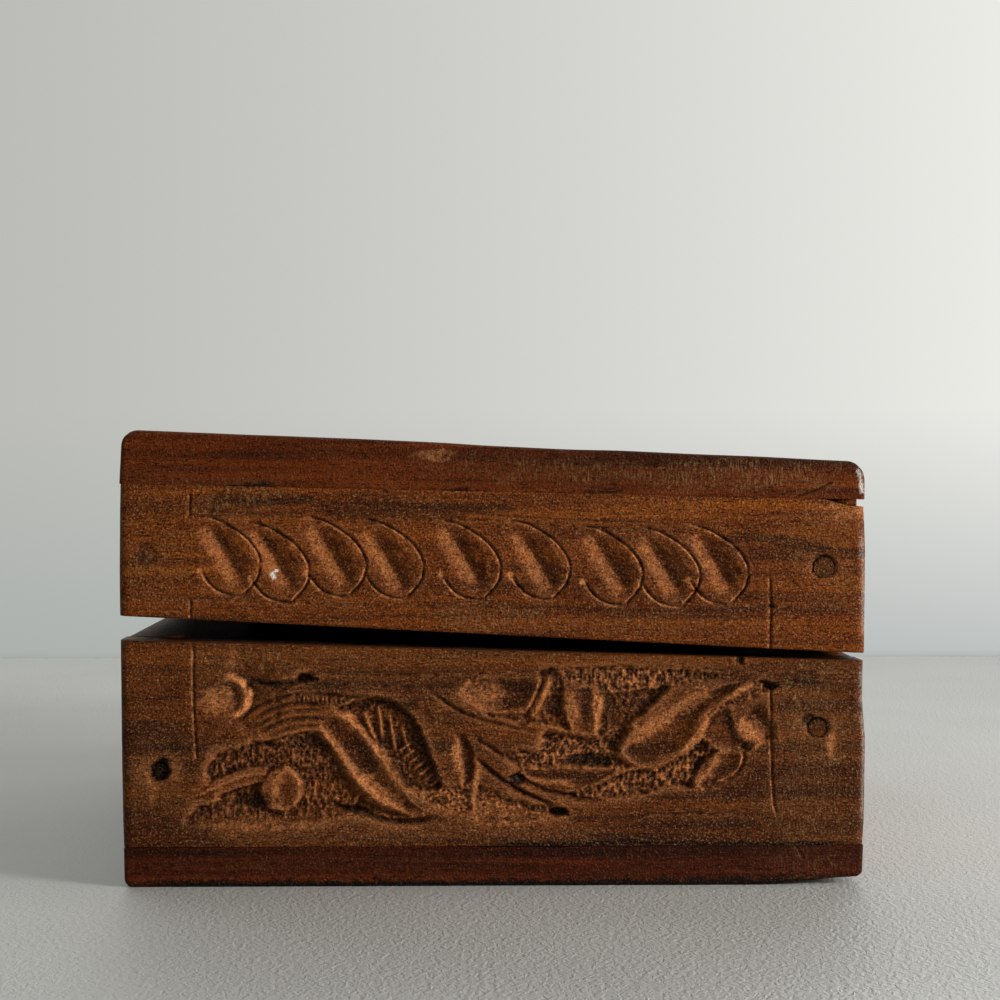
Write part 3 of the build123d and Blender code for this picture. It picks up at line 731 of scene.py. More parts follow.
def edge_columns(start, stop, radius, pitch, fine, fine_pitch):
    """Places along a board, from one rounded edge to the other, closer together in a fine range."""
    places = [start + edge_room * radius]
    end = stop - edge_room * radius
    while places[-1] < end:
        here = places[-1]
        close = fine is not None and fine[0] <= here < fine[1]
        places.append(here + (fine_pitch if close else pitch))
    places[-1] = end
    return np.array(places)


def rounding(radius, steps=4):
    """Offsets along and into the board of the rows that round an edge, outermost first."""
    angles = np.linspace(0.5 * np.pi, 0.0, steps + 1)
    return radius * (1 - np.sin(angles)), radius * (1 - np.cos(angles))


def face_grid(half, low_edge, high_edge, radii, pitch, fine, fine_pitch):
    """The grid of a board's outer face: places along it, up it and, at round edges, into it."""
    left_r, right_r, low_r, high_r = radii
    inner = edge_columns(-half, half, max(left_r, right_r), pitch, fine, fine_pitch)
    (left_s, left_d), (right_s, right_d), (low_t, low_d), (high_t, high_d) = map(rounding, radii)
    s_line = np.concatenate([-half + left_s, inner, half - right_s[::-1]])
    s_in = np.concatenate([left_d, np.zeros(len(inner)), right_d[::-1]])

    tall = max(high_edge(end) - low_edge(end) for end in (-half, half))
    rows = int(round((tall - edge_room * (low_r + high_r)) / fine_pitch)) + 1
    s = np.repeat(s_line[:, None], rows + len(low_t) + len(high_t), axis=1)
    bottom = low_edge(s_line)[:, None]
    top = high_edge(s_line)[:, None]
    free = top - bottom - edge_room * (low_r + high_r)
    body = bottom + edge_room * low_r + np.linspace(0, 1, rows)[None, :] * free
    t = np.concatenate([bottom + low_t[None, :], body, top - high_t[None, ::-1]], axis=1)
    t_in = np.concatenate([low_d, np.zeros(rows), high_d[::-1]])
    return s, t, s_in[:, None] + t_in[None, :]


def carved_board(name, place, half, low_edge, high_edge, thickness, radii, carve, seed, pitch,
                 fine_pitch, fine=None, waver=0.05, skirt=(), drawn_in_frame=False):
    """A closed board whose outer face is carved.

    place(s, t, d) turns places along the board, up it and into it into the frame. The board runs
    from -half to half. low_edge and high_edge give its lower and upper edge at s. radii are those
    of its left, right, lower and upper edges. carve draws on the Relief of the outer face, in the
    frame's x and z or along and up the board. skirt are the depths of the rows that the sides have
    before the board's back.
    """
    s, t, d = face_grid(half, low_edge, high_edge, radii, pitch, fine, fine_pitch)
    x, y, z = place(s, t, d)
    relief = Relief(x, z) if drawn_in_frame else Relief(s, t)
    carve(relief)
    wave = waver * value_noise(s, t, 9.0, 5.0, seed)
    wave = wave + 0.5 * waver * value_noise(s, t, 2.5, 1.6, seed + 1)
    depth = d - relief.height + np.abs(wave)
    x, y, z = place(s, t, depth)

    grid = np.arange(s.size).reshape(s.shape)
    front = np.stack([grid[:-1, :-1], grid[1:, :-1], grid[1:, 1:], grid[:-1, 1:]], -1)
    loop = np.concatenate([grid[:, 0], grid[-1, 1:], grid[-2::-1, -1], grid[0, -2:0:-1]])
    flat_s, flat_t, edge_in = s.ravel()[loop], t.ravel()[loop], depth.ravel()[loop]
    following = np.roll(np.arange(len(loop)), -1)
    rings, ring_points = [loop], []
    for number, row_depth in enumerate([*skirt, thickness]):
        ring_points.append(np.stack(place(flat_s, flat_t, np.maximum(edge_in, row_depth)), -1))
        rings.append(grid.size + number * len(loop) + np.arange(len(loop)))
    strips = [
        np.stack([upper[following], upper, lower, lower[following]], -1)
        for upper, lower in zip(rings[:-1], rings[1:])
    ]
    centre = grid.size + (len(skirt) + 1) * len(loop)
    back = rings[-1]
    fan = np.stack([back[following], back, np.full(len(loop), centre)], -1)
    middle = np.array(place(np.mean(flat_s), np.mean(flat_t), thickness), float).reshape(1, 3)
    points = np.vstack([np.stack([x.ravel(), y.ravel(), z.ravel()], -1), *ring_points, middle])

    smooth_height = blurred(relief.height, 5)
    shares = {
        "raw": relief.raw, "stain": relief.stain, "dust": relief.dust, "paint": relief.paint,
        # Painted shade in the hollows: darker the deeper a point lies below its blurred neighbours.
        "cavity": np.clip((smooth_height - relief.height) / 0.5, 0, 1),
        "ridge": np.clip((relief.height - smooth_height) / 0.4, 0, 1),
    }
    rest = np.zeros(len(points) - grid.size)
    shares = {title: np.append(values.ravel(), rest) for title, values in shares.items()}
    faces = front.reshape(-1, 4).tolist() + np.vstack(strips).tolist() + fan.tolist()
    piece = mesh_object(name, points, faces, shares)
    smooth = np.ones(len(piece.data.polygons), bool)
    smooth[-len(fan):] = False
    piece.data.polygons.foreach_set("use_smooth", smooth)
    return piece


def right_end(s, t, d):
    return s, -half_length + d, t


def left_end(s, t, d):
    return -s, half_length - d, t


def front_side(s, t, d):
    return -half_width + d, -s, t


def back_side(s, t, d):
    return half_width - d, s, t


def on_lid(place):
    """The same place on the lid, standing ajar."""
    def ajar(s, t, d):
        x, y, z = place(s, t, d)
        x, z = lid_rest(x, z)
        return x, y, z
    return ajar


def level(height):
    """An edge at one height, whatever the place along the board."""
    return lambda s: np.zeros_like(np.asarray(s, float)) + height


def sawn(place, above=0.0):
    """The edge along the saw cut, or this much above it."""
    return lambda s: sawn_height(place(s, 0.0, 0.0)[0]) + above + 0.0 * s


def raised_top(s):
    """Upper face of the top board, as glued up and before its wear."""
    share = (s + half_width) / (2 * half_width)
    height = walls_top + top_thickness_front + share * (top_thickness_back - top_thickness_front)
    return height + top_wear_allowance


def chipped_top(s):
    """Top edge of the lid's right-hand end: its back corner has broken away."""
    return walls_top - 1.0 * smoothstep(44.0, 50.0, s)


def bottom_lift(s):
    """The bottom board's underside is planed away towards its back corner."""
    return 1.1 * smoothstep(36.0, 51.0, s)


def scribed(relief, *lines):
    for line in lines:
        relief.cut(line, scribe_depth, scribe_width, scribe_width, **scribe)


def dusty(relief, rough, *patches):
    for centre, size, dust in patches:
        relief.patch(centre, size, dust, rough=rough)


def box_right_carving(relief):
    """The vine of the right-hand end, its scribed lines, cracks, chips and wear, with painted shade
    along its left edge and a painted highlight down its right arris.
    """
    vine(relief)
    scribed(relief, [(-41.0, 33.3), (-41.0, 25.0), (-40.6, 17.5)],
            [(38.3, 27.9), (38.4, 18.0), (38.7, 11.8), (39.2, 9.6)])
    relief.cut([(-26.0, 29.2), (-4.4, 29.2), (20.0, 30.3), (34.0, 29.6), (52.0, 29.4)],
               0.25, 0.2, 0.24, raw=0.7, stain=0.6, fade=0.03)
    relief.cut([(20.0, 9.6), (28.0, 9.9), (38.5, 9.7)],
               0.25, 0.2, 0.3, raw=0.9, stain=0.5, fade=0.05)
    relief.peg((-45.7, 15.9), 1.35, dirt_and_shade=0.95, depth=1.3)
    relief.pit((-45.2, 17.2), (1.9, 1.6), 0.5, stain=0.95)
    relief.peg((44.9, 21.7), 1.45, dirt_and_shade=0.35)
    relief.pit((-46.6, 12.4), (0.8, 3.0), 0.1, stain=0.2, raw=0.5)
    relief.pit((43.6, 22.8), (2.8, 2.2), 0.3, stain=0.75)
    relief.pit((45.4, 22.4), (2.2, 1.4), 0.1, stain=0.6)
    relief.pit((46.9, 19.4), (1.6, 3.4), 0.2, stain=0.1, raw=0.9)
    relief.pit((34.2, 31.4), (1.2, 1.8), 0.7, stain=0.9)
    relief.cut([(41.8, 7.0), (42.4, 5.8)], 0.4, 0.2, 0.2, stain=0.9)
    # Dark marks: a seam, dirt, a darker band along the top and, along the left edge, painted shade.
    for points, width, share in (
        ([(-2.0, 5.85), (8.0, 5.8), (20.0, 5.95), (36.0, 5.8), (51.0, 5.85)], 0.6, 1.0),
        ([(-44.0, 31.6), (-10.0, 31.4), (20.0, 31.6), (52.0, 31.4)], 6.0, 0.1),
        ([(36.6, 28.2), (39.0, 27.9), (40.2, 28.0)], 0.6, 0.9),
        ([(40.8, 28.1), (43.0, 28.2), (45.2, 28.0)], 0.9, 0.8),
        ([(19.8, 10.1), (25.0, 10.0), (30.0, 10.1)], 0.5, 0.7),
        ([(19.0, 8.6), (28.0, 8.2), (37.0, 8.6)], 2.2, 0.4),
        ([(-51.0, 22.0), (-44.0, 21.0), (-41.5, 19.5)], 5.0, 0.35),
        ([(-51.0, 10.0), (-44.0, 9.0), (-38.0, 7.6)], 3.0, 0.35),
    ):
        relief.mark(points, width, share)
    relief.mark([(-40.0, 7.4), (-10.0, 7.3), (16.0, 7.3)], 4.0, 0.12, name="raw")
    relief.mark([(-47.4, 16.2), (-47.0, 14.2), (-45.8, 13.6)], 1.0, 0.5, name="raw")
    # Painted highlight down the right arris.
    relief.mark([(51.0, 8.0), (51.2, 20.0), (50.9, 31.0)], 0.7, 0.2, name="paint")
    dusty(relief, 0.06, ((-10.0, 31.8), (70.0, 3.0), 0.5), ((44.5, 22.0), (12.0, 22.0), 0.7),
          ((-46.0, 16.0), (10.0, 14.0), 0.5), ((20.0, 31.0), (40.0, 2.6), 0.45),
          ((-46.0, 29.0), (9.0, 7.0), 0.2), ((43.0, 10.0), (14.0, 9.0), 0.55))
    dusty(relief, 0.1, ((-33.0, 31.2), (17.0, 3.0), 0.8))


def lid_right_carving(relief):
    """The leaves of the lid's right-hand end, its scribed lines, cracks, chips and wear, with a
    painted highlight down its right arris.
    """
    leaf_row(relief, lid_leaves)
    scribed(relief, [(-41.4, 54.0), (-41.5, 51.0)], [(-41.4, 39.5), (-41.4, 37.0)],
            [(38.2, 42.4), (38.3, 38.5), (38.2, 32.5)])
    for line in (
        [(-41.4, 50.9), (-33.8, 51.0), (-26.3, 50.8)],
        [(-41.4, 39.4), (-30.0, 39.2), (-16.0, 38.6)],
        [(-14.0, 50.6), (-8.5, 50.4), (-4.4, 50.5), (-0.3, 50.4)],
        [(-2.0, 50.6), (8.0, 49.7), (18.0, 49.2), (30.0, 48.4)],
        [(34.8, 38.6), (38.9, 38.6)],
    ):
        relief.cut(line, 0.22, 0.2, 0.24, raw=0.8, stain=0.6, fade=0.05)
    relief.cut([(-28.0, 53.0), (-8.0, 52.0), (2.0, 50.9), (12.0, 50.4), (22.0, 50.2)],
               0.2, 0.3, 0.3, stain=0.8)
    relief.peg((-47.4, 45.5), peg_radius - 0.25, square=True, dirt_and_shade=0.9, depth=0.15)
    relief.peg((45.7, 43.9), peg_radius, dirt_and_shade=0.6)
    relief.cut([(48.0, 44.0), (49.6, 43.8), (51.0, 43.9)], 0.25, 0.15, 0.15, stain=0.7)
    relief.pit((38.6, 38.5), (0.9, 0.7), 0.3, stain=0.9)
    relief.pit((49.4, 52.0), (7.0, 4.4), 0.5, stain=0.0, raw=0.45, seed=8)
    for points, width, share in (
        ([(31.0, 47.6), (37.0, 47.9), (42.0, 47.0), (47.0, 46.2)], 2.2, 0.6),
        ([(44.0, 46.8), (48.0, 46.3), (51.0, 45.9)], 0.6, 0.7),
        ([(42.0, 53.4), (46.0, 52.8), (49.5, 52.6), (51.5, 52.2)], 0.6, 0.5),
        ([(-39.0, 53.8), (-33.0, 53.0), (-24.0, 53.2)], 1.5, 0.55),
        ([(-26.0, 52.3), (-14.0, 51.6), (-2.0, 50.9)], 1.5, 0.55),
        ([(-20.0, 53.0), (-8.0, 52.4), (4.0, 52.2)], 1.5, 0.55),
        ([(-24.0, 51.4), (-15.0, 51.2), (-8.0, 51.6)], 1.5, 0.55),
    ):
        relief.mark(points, width, share)
    # A painted highlight down the right arris, and two specks of white paint.
    for points, width, share in (
        ([(51.2, 34.0), (51.1, 42.0), (50.9, 49.5)], 0.7, 0.2),
        ([(-30.3, 43.3), (-29.8, 42.3)], 0.9, 1.0),
        ([(-29.9, 43.5), (-29.3, 43.5)], 0.7, 1.0),
    ):
        relief.mark(points, width, share, name="paint")
    relief.patch((-34.0, 53.4), (15.0, 4.4), 1.0, rough=0.25, stain=0.2)
    dusty(relief, 0.06, ((-46.0, 43.5), (9.0, 11.0), 0.6), ((44.5, 48.0), (13.0, 9.0), 0.45),
          ((1.0, 37.0), (18.0, 4.0), 0.8), ((20.0, 36.0), (44.0, 3.0), 0.4),
          ((20.0, 53.0), (34.0, 3.0), 0.35), ((47.0, 41.0), (8.0, 8.0), 0.5))
    relief.patch((-1.0, 39.4), (3.0, 2.6), 0.0, stain=0.5)


def top_end_carving(relief):
    """Seam, crack, chipped corner and dust of the top board's right-hand end, and a painted
    highlight on its right arris.
    """
    relief.cut([(-29.0, 55.4), (-26.0, 56.0)], 0.25, 0.2, 0.2, stain=0.6)
    relief.cut([(41.8, 53.6), (42.7, 53.9), (44.7, 54.5), (46.6, 55.5)], 0.4, 0.2, 0.2, stain=0.85,
               fade=0.03)
    relief.mark([(-51.5, 54.5), (-47.8, 54.6), (-38.0, 54.9), (-29.0, 55.4)], 0.7, 1.0)
    for start, stop, height in ((-9.4, -1.0, 54.3), (12.6, 18.2, 54.2), (-6.0, -3.0, 54.6)):
        relief.mark([(start, height), (stop, height + 0.1)], 0.5, 0.8)
    # Painted highlight on the right arris.
    relief.mark([(50.9, 53.8), (50.7, 56.0), (50.3, 57.4)], 0.85, 0.8, name="paint")
    relief.patch((-7.6, 59.2), (6.6, 1.6), 0.9, raw=0.5, seed=91)
    dusty(relief, 0.05, ((-38.0, 55.6), (20.0, 1.6), 0.3), ((-4.0, 58.0), (16.0, 4.0), 0.3),
          ((12.0, 57.0), (26.0, 4.0), 0.6), ((34.0, 56.5), (34.0, 5.0), 0.9))


def bottom_end_carving(relief):
    """Painted contact shadow along the lower edge, and dirt, crack and dust of the bottom board's
    right-hand end.
    """
    relief.cut([(41.8, 5.6), (42.6, 4.0), (42.9, 3.6)], 0.35, 0.18, 0.18, stain=0.9, fade=0.05)
    # The first mark is a painted contact shadow along the lower edge; the others are dirt.
    for points, width, share in (
        ([(-52.0, 0.2), (0.0, 0.2), (52.0, 0.4)], 2.0, 1.0),
        ([(-51.0, 3.4), (-30.0, 3.0), (-8.0, 3.2), (10.0, 2.7)], 1.0, 0.4),
        ([(-20.0, 4.4), (4.0, 4.2), (20.0, 4.3)], 0.6, 0.4),
        ([(14.0, 5.3), (30.0, 5.35), (47.0, 5.3)], 0.35, 0.7),
    ):
        relief.mark(points, width, share)
    dusty(relief, 0.05, ((44.0, 3.0), (14.0, 4.0), 0.35))
    dusty(relief, 0.04, ((-20.0, 3.0), (50.0, 3.0), 0.12))


def even_leaf_row(length):
    """Carves an evenly spaced leaf row on a wall of this length."""
    count = int((length - leaf_row_ends) / leaf_pitch)
    first = -0.5 * (count - 1) * leaf_pitch + leaf_half_width
    height = walls_top - leaf_row_drop
    return lambda relief: leaf_row(relief, [(first + leaf_pitch * n, height) for n in range(count)])


def side_vine(drop=0.0):
    """Carves the vine twice, mirrored about the middle of the long side, and lower by drop."""
    def carve(relief):
        relief.x = np.abs(relief.x) / side_vine_squeeze + side_vine_start
        relief.z = relief.z + drop
        vine(relief)
    return carve


# How far the worn outline of the right-hand end stands out from the straight edges: height, mm.
box_left_edge = [(0, -0.45), (5.6, -0.33), (9.0, -0.2), (17.0, -0.05), (33.0, 0.1)]
box_right_edge = [(0, 0.0), (5.6, 0.22), (9.0, 0.47), (20.0, 0.65), (25.5, 0.2), (29.7, 0.25),
                  (33.0, 0.42)]
lid_left_edge = [(32.0, 0.25), (37.6, 0.34), (43.4, 0.56), (51.7, 0.67), (55.0, 0.67), (62.0, 0.45)]
lid_right_edge = [(32.0, 0.45), (40.7, 0.33), (46.2, 0.25), (51.7, -0.1), (56.5, -0.2), (62.0, 0.1)]
edge_reach = 9.0  # from each edge, how far along the end its wear is felt
board_wear_depth = 60.0  # how far in from the end the wear of a long board runs out


def worn_edges(place, left_edge, right_edge, deep):
    """The same place on a board whose left and right edges have moved, less so further in."""
    def worn(s, t, d):
        x, y, z = place(s, t, d)
        here = np.clip(1 - d / deep, 0, 1)
        left, right = (
            np.interp(z, *zip(*edge)) * np.clip(out - half_width + edge_reach, 0, edge_reach)
            for edge, out in ((left_edge, -s), (right_edge, s))
        )
        return x + here * (right / edge_reach - left / edge_reach), y, z
    return worn


def make_wall(node, body, place, half, upright, carve, high_edge=None, worn=None, **settings):
    """One wall board over its CAD node, with this radius on its upright edges."""
    if body == "box":
        edges = level(walls_bottom), high_edge or sawn(place)
        radii = (upright, upright, seam_arris, sawn_arris)
    else:
        edges = sawn(place, saw_kerf), high_edge or level(walls_top)
        radii = (upright, upright, sawn_arris, tight_seam_arris if upright == arris else seam_arris)
        place = on_lid(place)
    if worn is not None:
        place = worn_edges(place, *worn, wall)
    piece = carved_board(node + "_carved", place, half, *edges, wall, radii, carve, **settings)
    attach(piece, body)
    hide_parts(node)
    return piece


inner_half = half_length - wall
right_grid = {"pitch": 0.4, "fine": (-43.0, 40.2), "drawn_in_frame": True}
plain_grid = {"pitch": 0.32, "fine_pitch": 0.32}

end_walls = [
    make_wall("box_right_end", "box", right_end, half_width, arris, box_right_carving, seed=21,
              worn=(box_left_edge, box_right_edge), fine_pitch=0.17, **right_grid),
    make_wall("box_left_end", "box", left_end, half_width, arris, vine, seed=22, **plain_grid),
    make_wall("lid_right_end", "lid", right_end, half_width, arris, lid_right_carving, chipped_top,
              seed=23, worn=(lid_left_edge, lid_right_edge), fine_pitch=0.15, **right_grid),
    make_wall("lid_left_end", "lid", left_end, half_width, arris, even_leaf_row(2 * half_width),
              seed=24, **plain_grid),
]
side_walls = [
    make_wall(node, body, place, inner_half, seam_arris, carve, seed=seed, **plain_grid)
    for node, body, place, carve, seed in (
        ("box_front_wall", "box", front_side, side_vine(), 25),
        ("box_back_wall", "box", back_side, side_vine(back_vine_drop), 26),
        ("lid_front_wall", "lid", front_side, even_leaf_row(2 * inner_half), 27),
        ("lid_back_wall", "lid", back_side, even_leaf_row(2 * inner_half), 28),
    )
]


def rounded_corner(u, v, radius):
    """Moves points at distances u and v from two edges so that the corner between them is round."""
    a, b = radius - u, radius - v
    near = (a > 0) & (b > 0)
    reach = np.where(near, np.hypot(a, b), 1.0)
    share = np.where(near, np.maximum(a, b) / reach, 1.0)
    return radius - a * share, radius - b * share


def long_board(low_edge, high_edge, radii, end_radius, lift=None):
    """Places in a board that runs from the right-hand end to the left, its long arrises rounded.

    radii are those of the lower left, lower right, upper left and upper right arris. lift is how
    far the underside is planed away at the right-hand end; it runs out lift_length further in.
    """
    lift_length = 70.0

    def place(s, t, d):
        low, high = low_edge(s), high_edge(s)
        left, down, up = s + half_width, t - low, high - t
        left, down = rounded_corner(left, down, radii[0])
        right, down = rounded_corner(half_width - (left - half_width), down, radii[1])
        left, up = rounded_corner(2 * half_width - right, high - low - down, radii[2])
        right, up = rounded_corner(2 * half_width - left, up, radii[3])
        s, t = half_width - right, high - up
        over = np.clip(d - (2 * half_length - end_radius), 0, end_radius)
        inset = end_radius - np.sqrt(np.maximum(end_radius**2 - over**2, 0))
        s = s * (1 - inset / half_width)
        middle = 0.5 * (low + high)
        t = middle + (t - middle) * (1 - inset / (0.5 * (high - low)))
        worn_above = smoothstep(0.3, 1.0, (t - low) / (high - low))
        t = t + 0.10 * value_noise(s, d, 9.0, 14.0, 44) * worn_above
        if lift is not None:
            from_top = 1 - (t - low) / (high - low)
            t = t + lift(s) * from_top * np.clip(1 - d / lift_length, 0, 1)
        return right_end(s, t, d)
    return place


def make_long_board(name, place, low_edge, high_edge, worn, seam_radii, carve, seed):
    """The top or bottom board, from the right-hand end to the left."""
    return carved_board(
        name, worn_edges(place, *worn, board_wear_depth), half_width, low_edge, high_edge,
        2 * half_length, (board_end_arris, board_end_arris, *seam_radii), carve, seed, pitch=0.2,
        fine_pitch=0.2, waver=0.1, drawn_in_frame=True,
        skirt=(2.0, *np.linspace(6.0, 150.0, 36), 151.0, 151.5, 151.8),
    )


top_place = long_board(level(walls_top), raised_top, top_arrises, 1.2)
top_board = make_long_board(
    "top_board_worn", on_lid(top_place), level(walls_top), raised_top,
    (lid_left_edge, lid_right_edge), (tight_seam_arris, 0.9), top_end_carving, 31,
)
bottom_place = long_board(level(0.0), level(walls_bottom), bottom_arrises, 1.0, bottom_lift)
bottom_board = make_long_board(
    "bottom_board_worn", bottom_place, level(0.0), level(walls_bottom),
    (box_left_edge, box_right_edge), (0.5, seam_arris), bottom_end_carving, 32,
)
for piece, node, body in ((top_board, "top_board", "lid"), (bottom_board, "bottom_board", "box")):
    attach(piece, body)
    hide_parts(node)


# ---------------------------------------------------------------- pegs
peg_reach = 21.9  # from the end face inwards
peg_sides = 24  # of a round peg, and points of a ring
# Place on the end wall as glued up, radius, corners, how far it has sunk, how dark it is.
box_pegs = [((-45.7, 15.8), 1.25, peg_sides, 0.9, 0.95),
            ((44.8, 21.6), 1.35, peg_sides, 0.12, 0.35)]
lid_pegs = [((-47.9, 42.9), 1.5, 4, 0.05, 0.0), ((45.4, 43.4), 1.5, peg_sides, 0.05, 0.1)]


# The worn head from its middle to its rim: share of the radius, fall; and the foot.
peg_profile = [(0.0, 0.0), (0.4, 0.03), (0.7, 0.06), (0.92, 0.14), (1.0, 0.35), (1.0, None)]


def peg_rings(place, centre, radius, corners, sunk, dirt_and_shade, seed):
    """Points and darkness of a peg: rings from the middle of its worn head to its rim and its foot.
    """
    angles = np.arange(peg_sides) * math.tau / peg_sides
    half_turn = math.pi / corners
    corner = np.cos(half_turn) / np.cos(angles % (2 * half_turn) - half_turn)
    points, shares = [], []
    for share, fall in peg_profile:
        s = centre[0] + share * radius * corner * np.cos(angles)
        t = centre[1] + share * radius * corner * np.sin(angles)
        rough = 0.08 * value_noise(s, t, 0.7, 0.5, seed)
        depth = np.full(peg_sides, peg_reach) if fall is None else sunk + fall + np.abs(rough)
        points.append(np.stack(place(s, t, depth), -1))
        shares.append(np.full(peg_sides, dirt_and_shade) + 0.5 * (share > 0.9))
    return np.vstack(points), np.clip(np.concatenate(shares), 0, 1)


def make_pegs(node, body, pegs, places):
    """The pegs of box or lid, at both ends, over their CAD node."""
    points, dirt_and_shade, faces = [], [], []
    for seed, (place, mirror) in enumerate(places):
        for (across, up), *peg in pegs:
            start = sum(map(len, points))
            rings, shares = peg_rings(place, (mirror * across, up), *peg, seed + 50)
            points.append(rings)
            dirt_and_shade.append(shares)
            grid = start + np.arange(len(rings)).reshape(-1, peg_sides)
            after = np.roll(grid, -1, axis=1)
            sides = np.stack([grid[:-1], after[:-1], after[1:], grid[1:]], -1)
            faces += sides.reshape(-1, 4).tolist()
            faces.append(grid[-1].tolist())
    piece = mesh_object(node + "_worn", np.vstack(points), faces, {"stain": np.concatenate(dirt_and_shade)})
    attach(piece, body)
    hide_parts(node)
    return piece


peg_pieces = [
    make_pegs("box_wall_pegs", "box", box_pegs, ((right_end, 1), (left_end, -1))),
    make_pegs("lid_wall_pegs", "lid", lid_pegs, ((on_lid(right_end), 1), (on_lid(left_end), -1))),
]


# ---------------------------------------------------------------- materials
def linear(red, green, blue):
    """A colour written from 0 to 255 as the shader's linear colour."""
    def channel(value):
        value /= 255
        return value / 12.92 if value <= 0.04045 else ((value + 0.055) / 1.055) ** 2.4
    return channel(red), channel(green), channel(blue), 1.0


class Shader:
    """A node material, built up from its inputs to its surface."""

    def __init__(self, name):
        self.material = bpy.data.materials.new(name)
        self.material.use_nodes = True
        self.nodes = self.material.node_tree.nodes
        self.links = self.material.node_tree.links
        self.surface = self.nodes["Principled BSDF"]
        self.output = self.nodes["Material Output"]

    def feed(self, socket, value):
        if isinstance(value, bpy.types.NodeSocket):
            self.links.new(value, socket)
        else:
            socket.default_value = value

    def with_surface(self, **values):
        """Feeds the surface's inputs and returns the material."""
        for title, value in values.items():
            self.feed(self.surface.inputs[title.replace("_", " ")], value)
        return self.material

    def node(self, kind, inputs=(), **settings):
        made = self.nodes.new(kind)
        for key, value in settings.items():
            setattr(made, key, value)
        for key, value in dict(inputs).items():
            self.feed(made.inputs[key], value)
        return made

    def math(self, operation, first, second, clamp=False):
        settings = {"operation": operation, "use_clamp": clamp}
        return self.node("ShaderNodeMath", {0: first, 1: second}, **settings).outputs[0]

    def times(self, first, second):
        return self.math("MULTIPLY", first, second)

    def plus(self, first, second, clamp=False):
        return self.math("ADD", first, second, clamp)

    def mix(self, share, first, second, blend="MIX"):
        made = self.node("ShaderNodeMix", data_type="RGBA", blend_type=blend, clamp_factor=True)
        self.feed(made.inputs["Factor"], share)
        self.feed(made.inputs[6], first)
        self.feed(made.inputs[7], second)
        return made.outputs[2]

    def place(self, scale):
        """The object's own coordinates, scaled along each axis; a scale of 1 counts millimetres."""
        here = self.node("ShaderNodeTexCoord").outputs["Object"]
        scaled = self.node("ShaderNodeMapping", {"Vector": here})
        scaled.inputs["Scale"].default_value = [part / MM for part in scale]
        return scaled.outputs["Vector"]

    def noise(self, scale, size, detail, rough, twist=0.0):
        """Noise in cells of about size mm, stretched by scale along each axis."""
        made = self.node("ShaderNodeTexNoise", {"Vector": self.place(scale), "Scale": 1 / size,
                                                "Detail": detail, "Roughness": rough,
                                                "Distortion": twist})
        return made.outputs["Fac"]

    def between(self, value, low, high, to_low=0.0, to_high=1.0):
        made = self.node("ShaderNodeMapRange", {"Value": value, "From Min": low, "From Max": high,
                                                "To Min": to_low, "To Max": to_high})
        return made.outputs["Result"]

    def ramp(self, value, *stops):
        made = self.node("ShaderNodeValToRGB", {"Fac": value})
        elements = made.color_ramp.elements
        while len(elements) < len(stops):
            elements.new(0.5)
        for element, (position, colour) in zip(elements, stops):
            element.position = position
            element.color = colour
        return made.outputs["Color"]

    def share(self, name):
        return self.node("ShaderNodeAttribute", attribute_name=name).outputs["Fac"]

    def bump(self, height, distance):
        made = self.node("ShaderNodeBump", {"Height": height, "Distance": distance * MM})
        return made.outputs["Normal"]


# The bare-wood colour also paints highlights, the dirt colour also paints shade, the hollow colour
# is painted shade in hollows, and the paint colour also paints highlights on the right arrises.
raw_wood_and_highlight = linear(224, 142, 84)
dust_colour = linear(132, 96, 58)
dirt_and_shade_colour = linear(20, 11, 7)
painted_hollow_shade = linear(42, 14, 7)
pore_colour = linear(34, 12, 6)
paint_and_highlight_colour = linear(232, 226, 214)
grit_shadow = (0.34, 0.25, 0.18, 1.0)
pale_grit_and_glint = (0.20, 0.118, 0.05, 1.0)
even = (1.0, 1.0, 1.0)
wood_shine = 0.08  # the old wax hardly shines


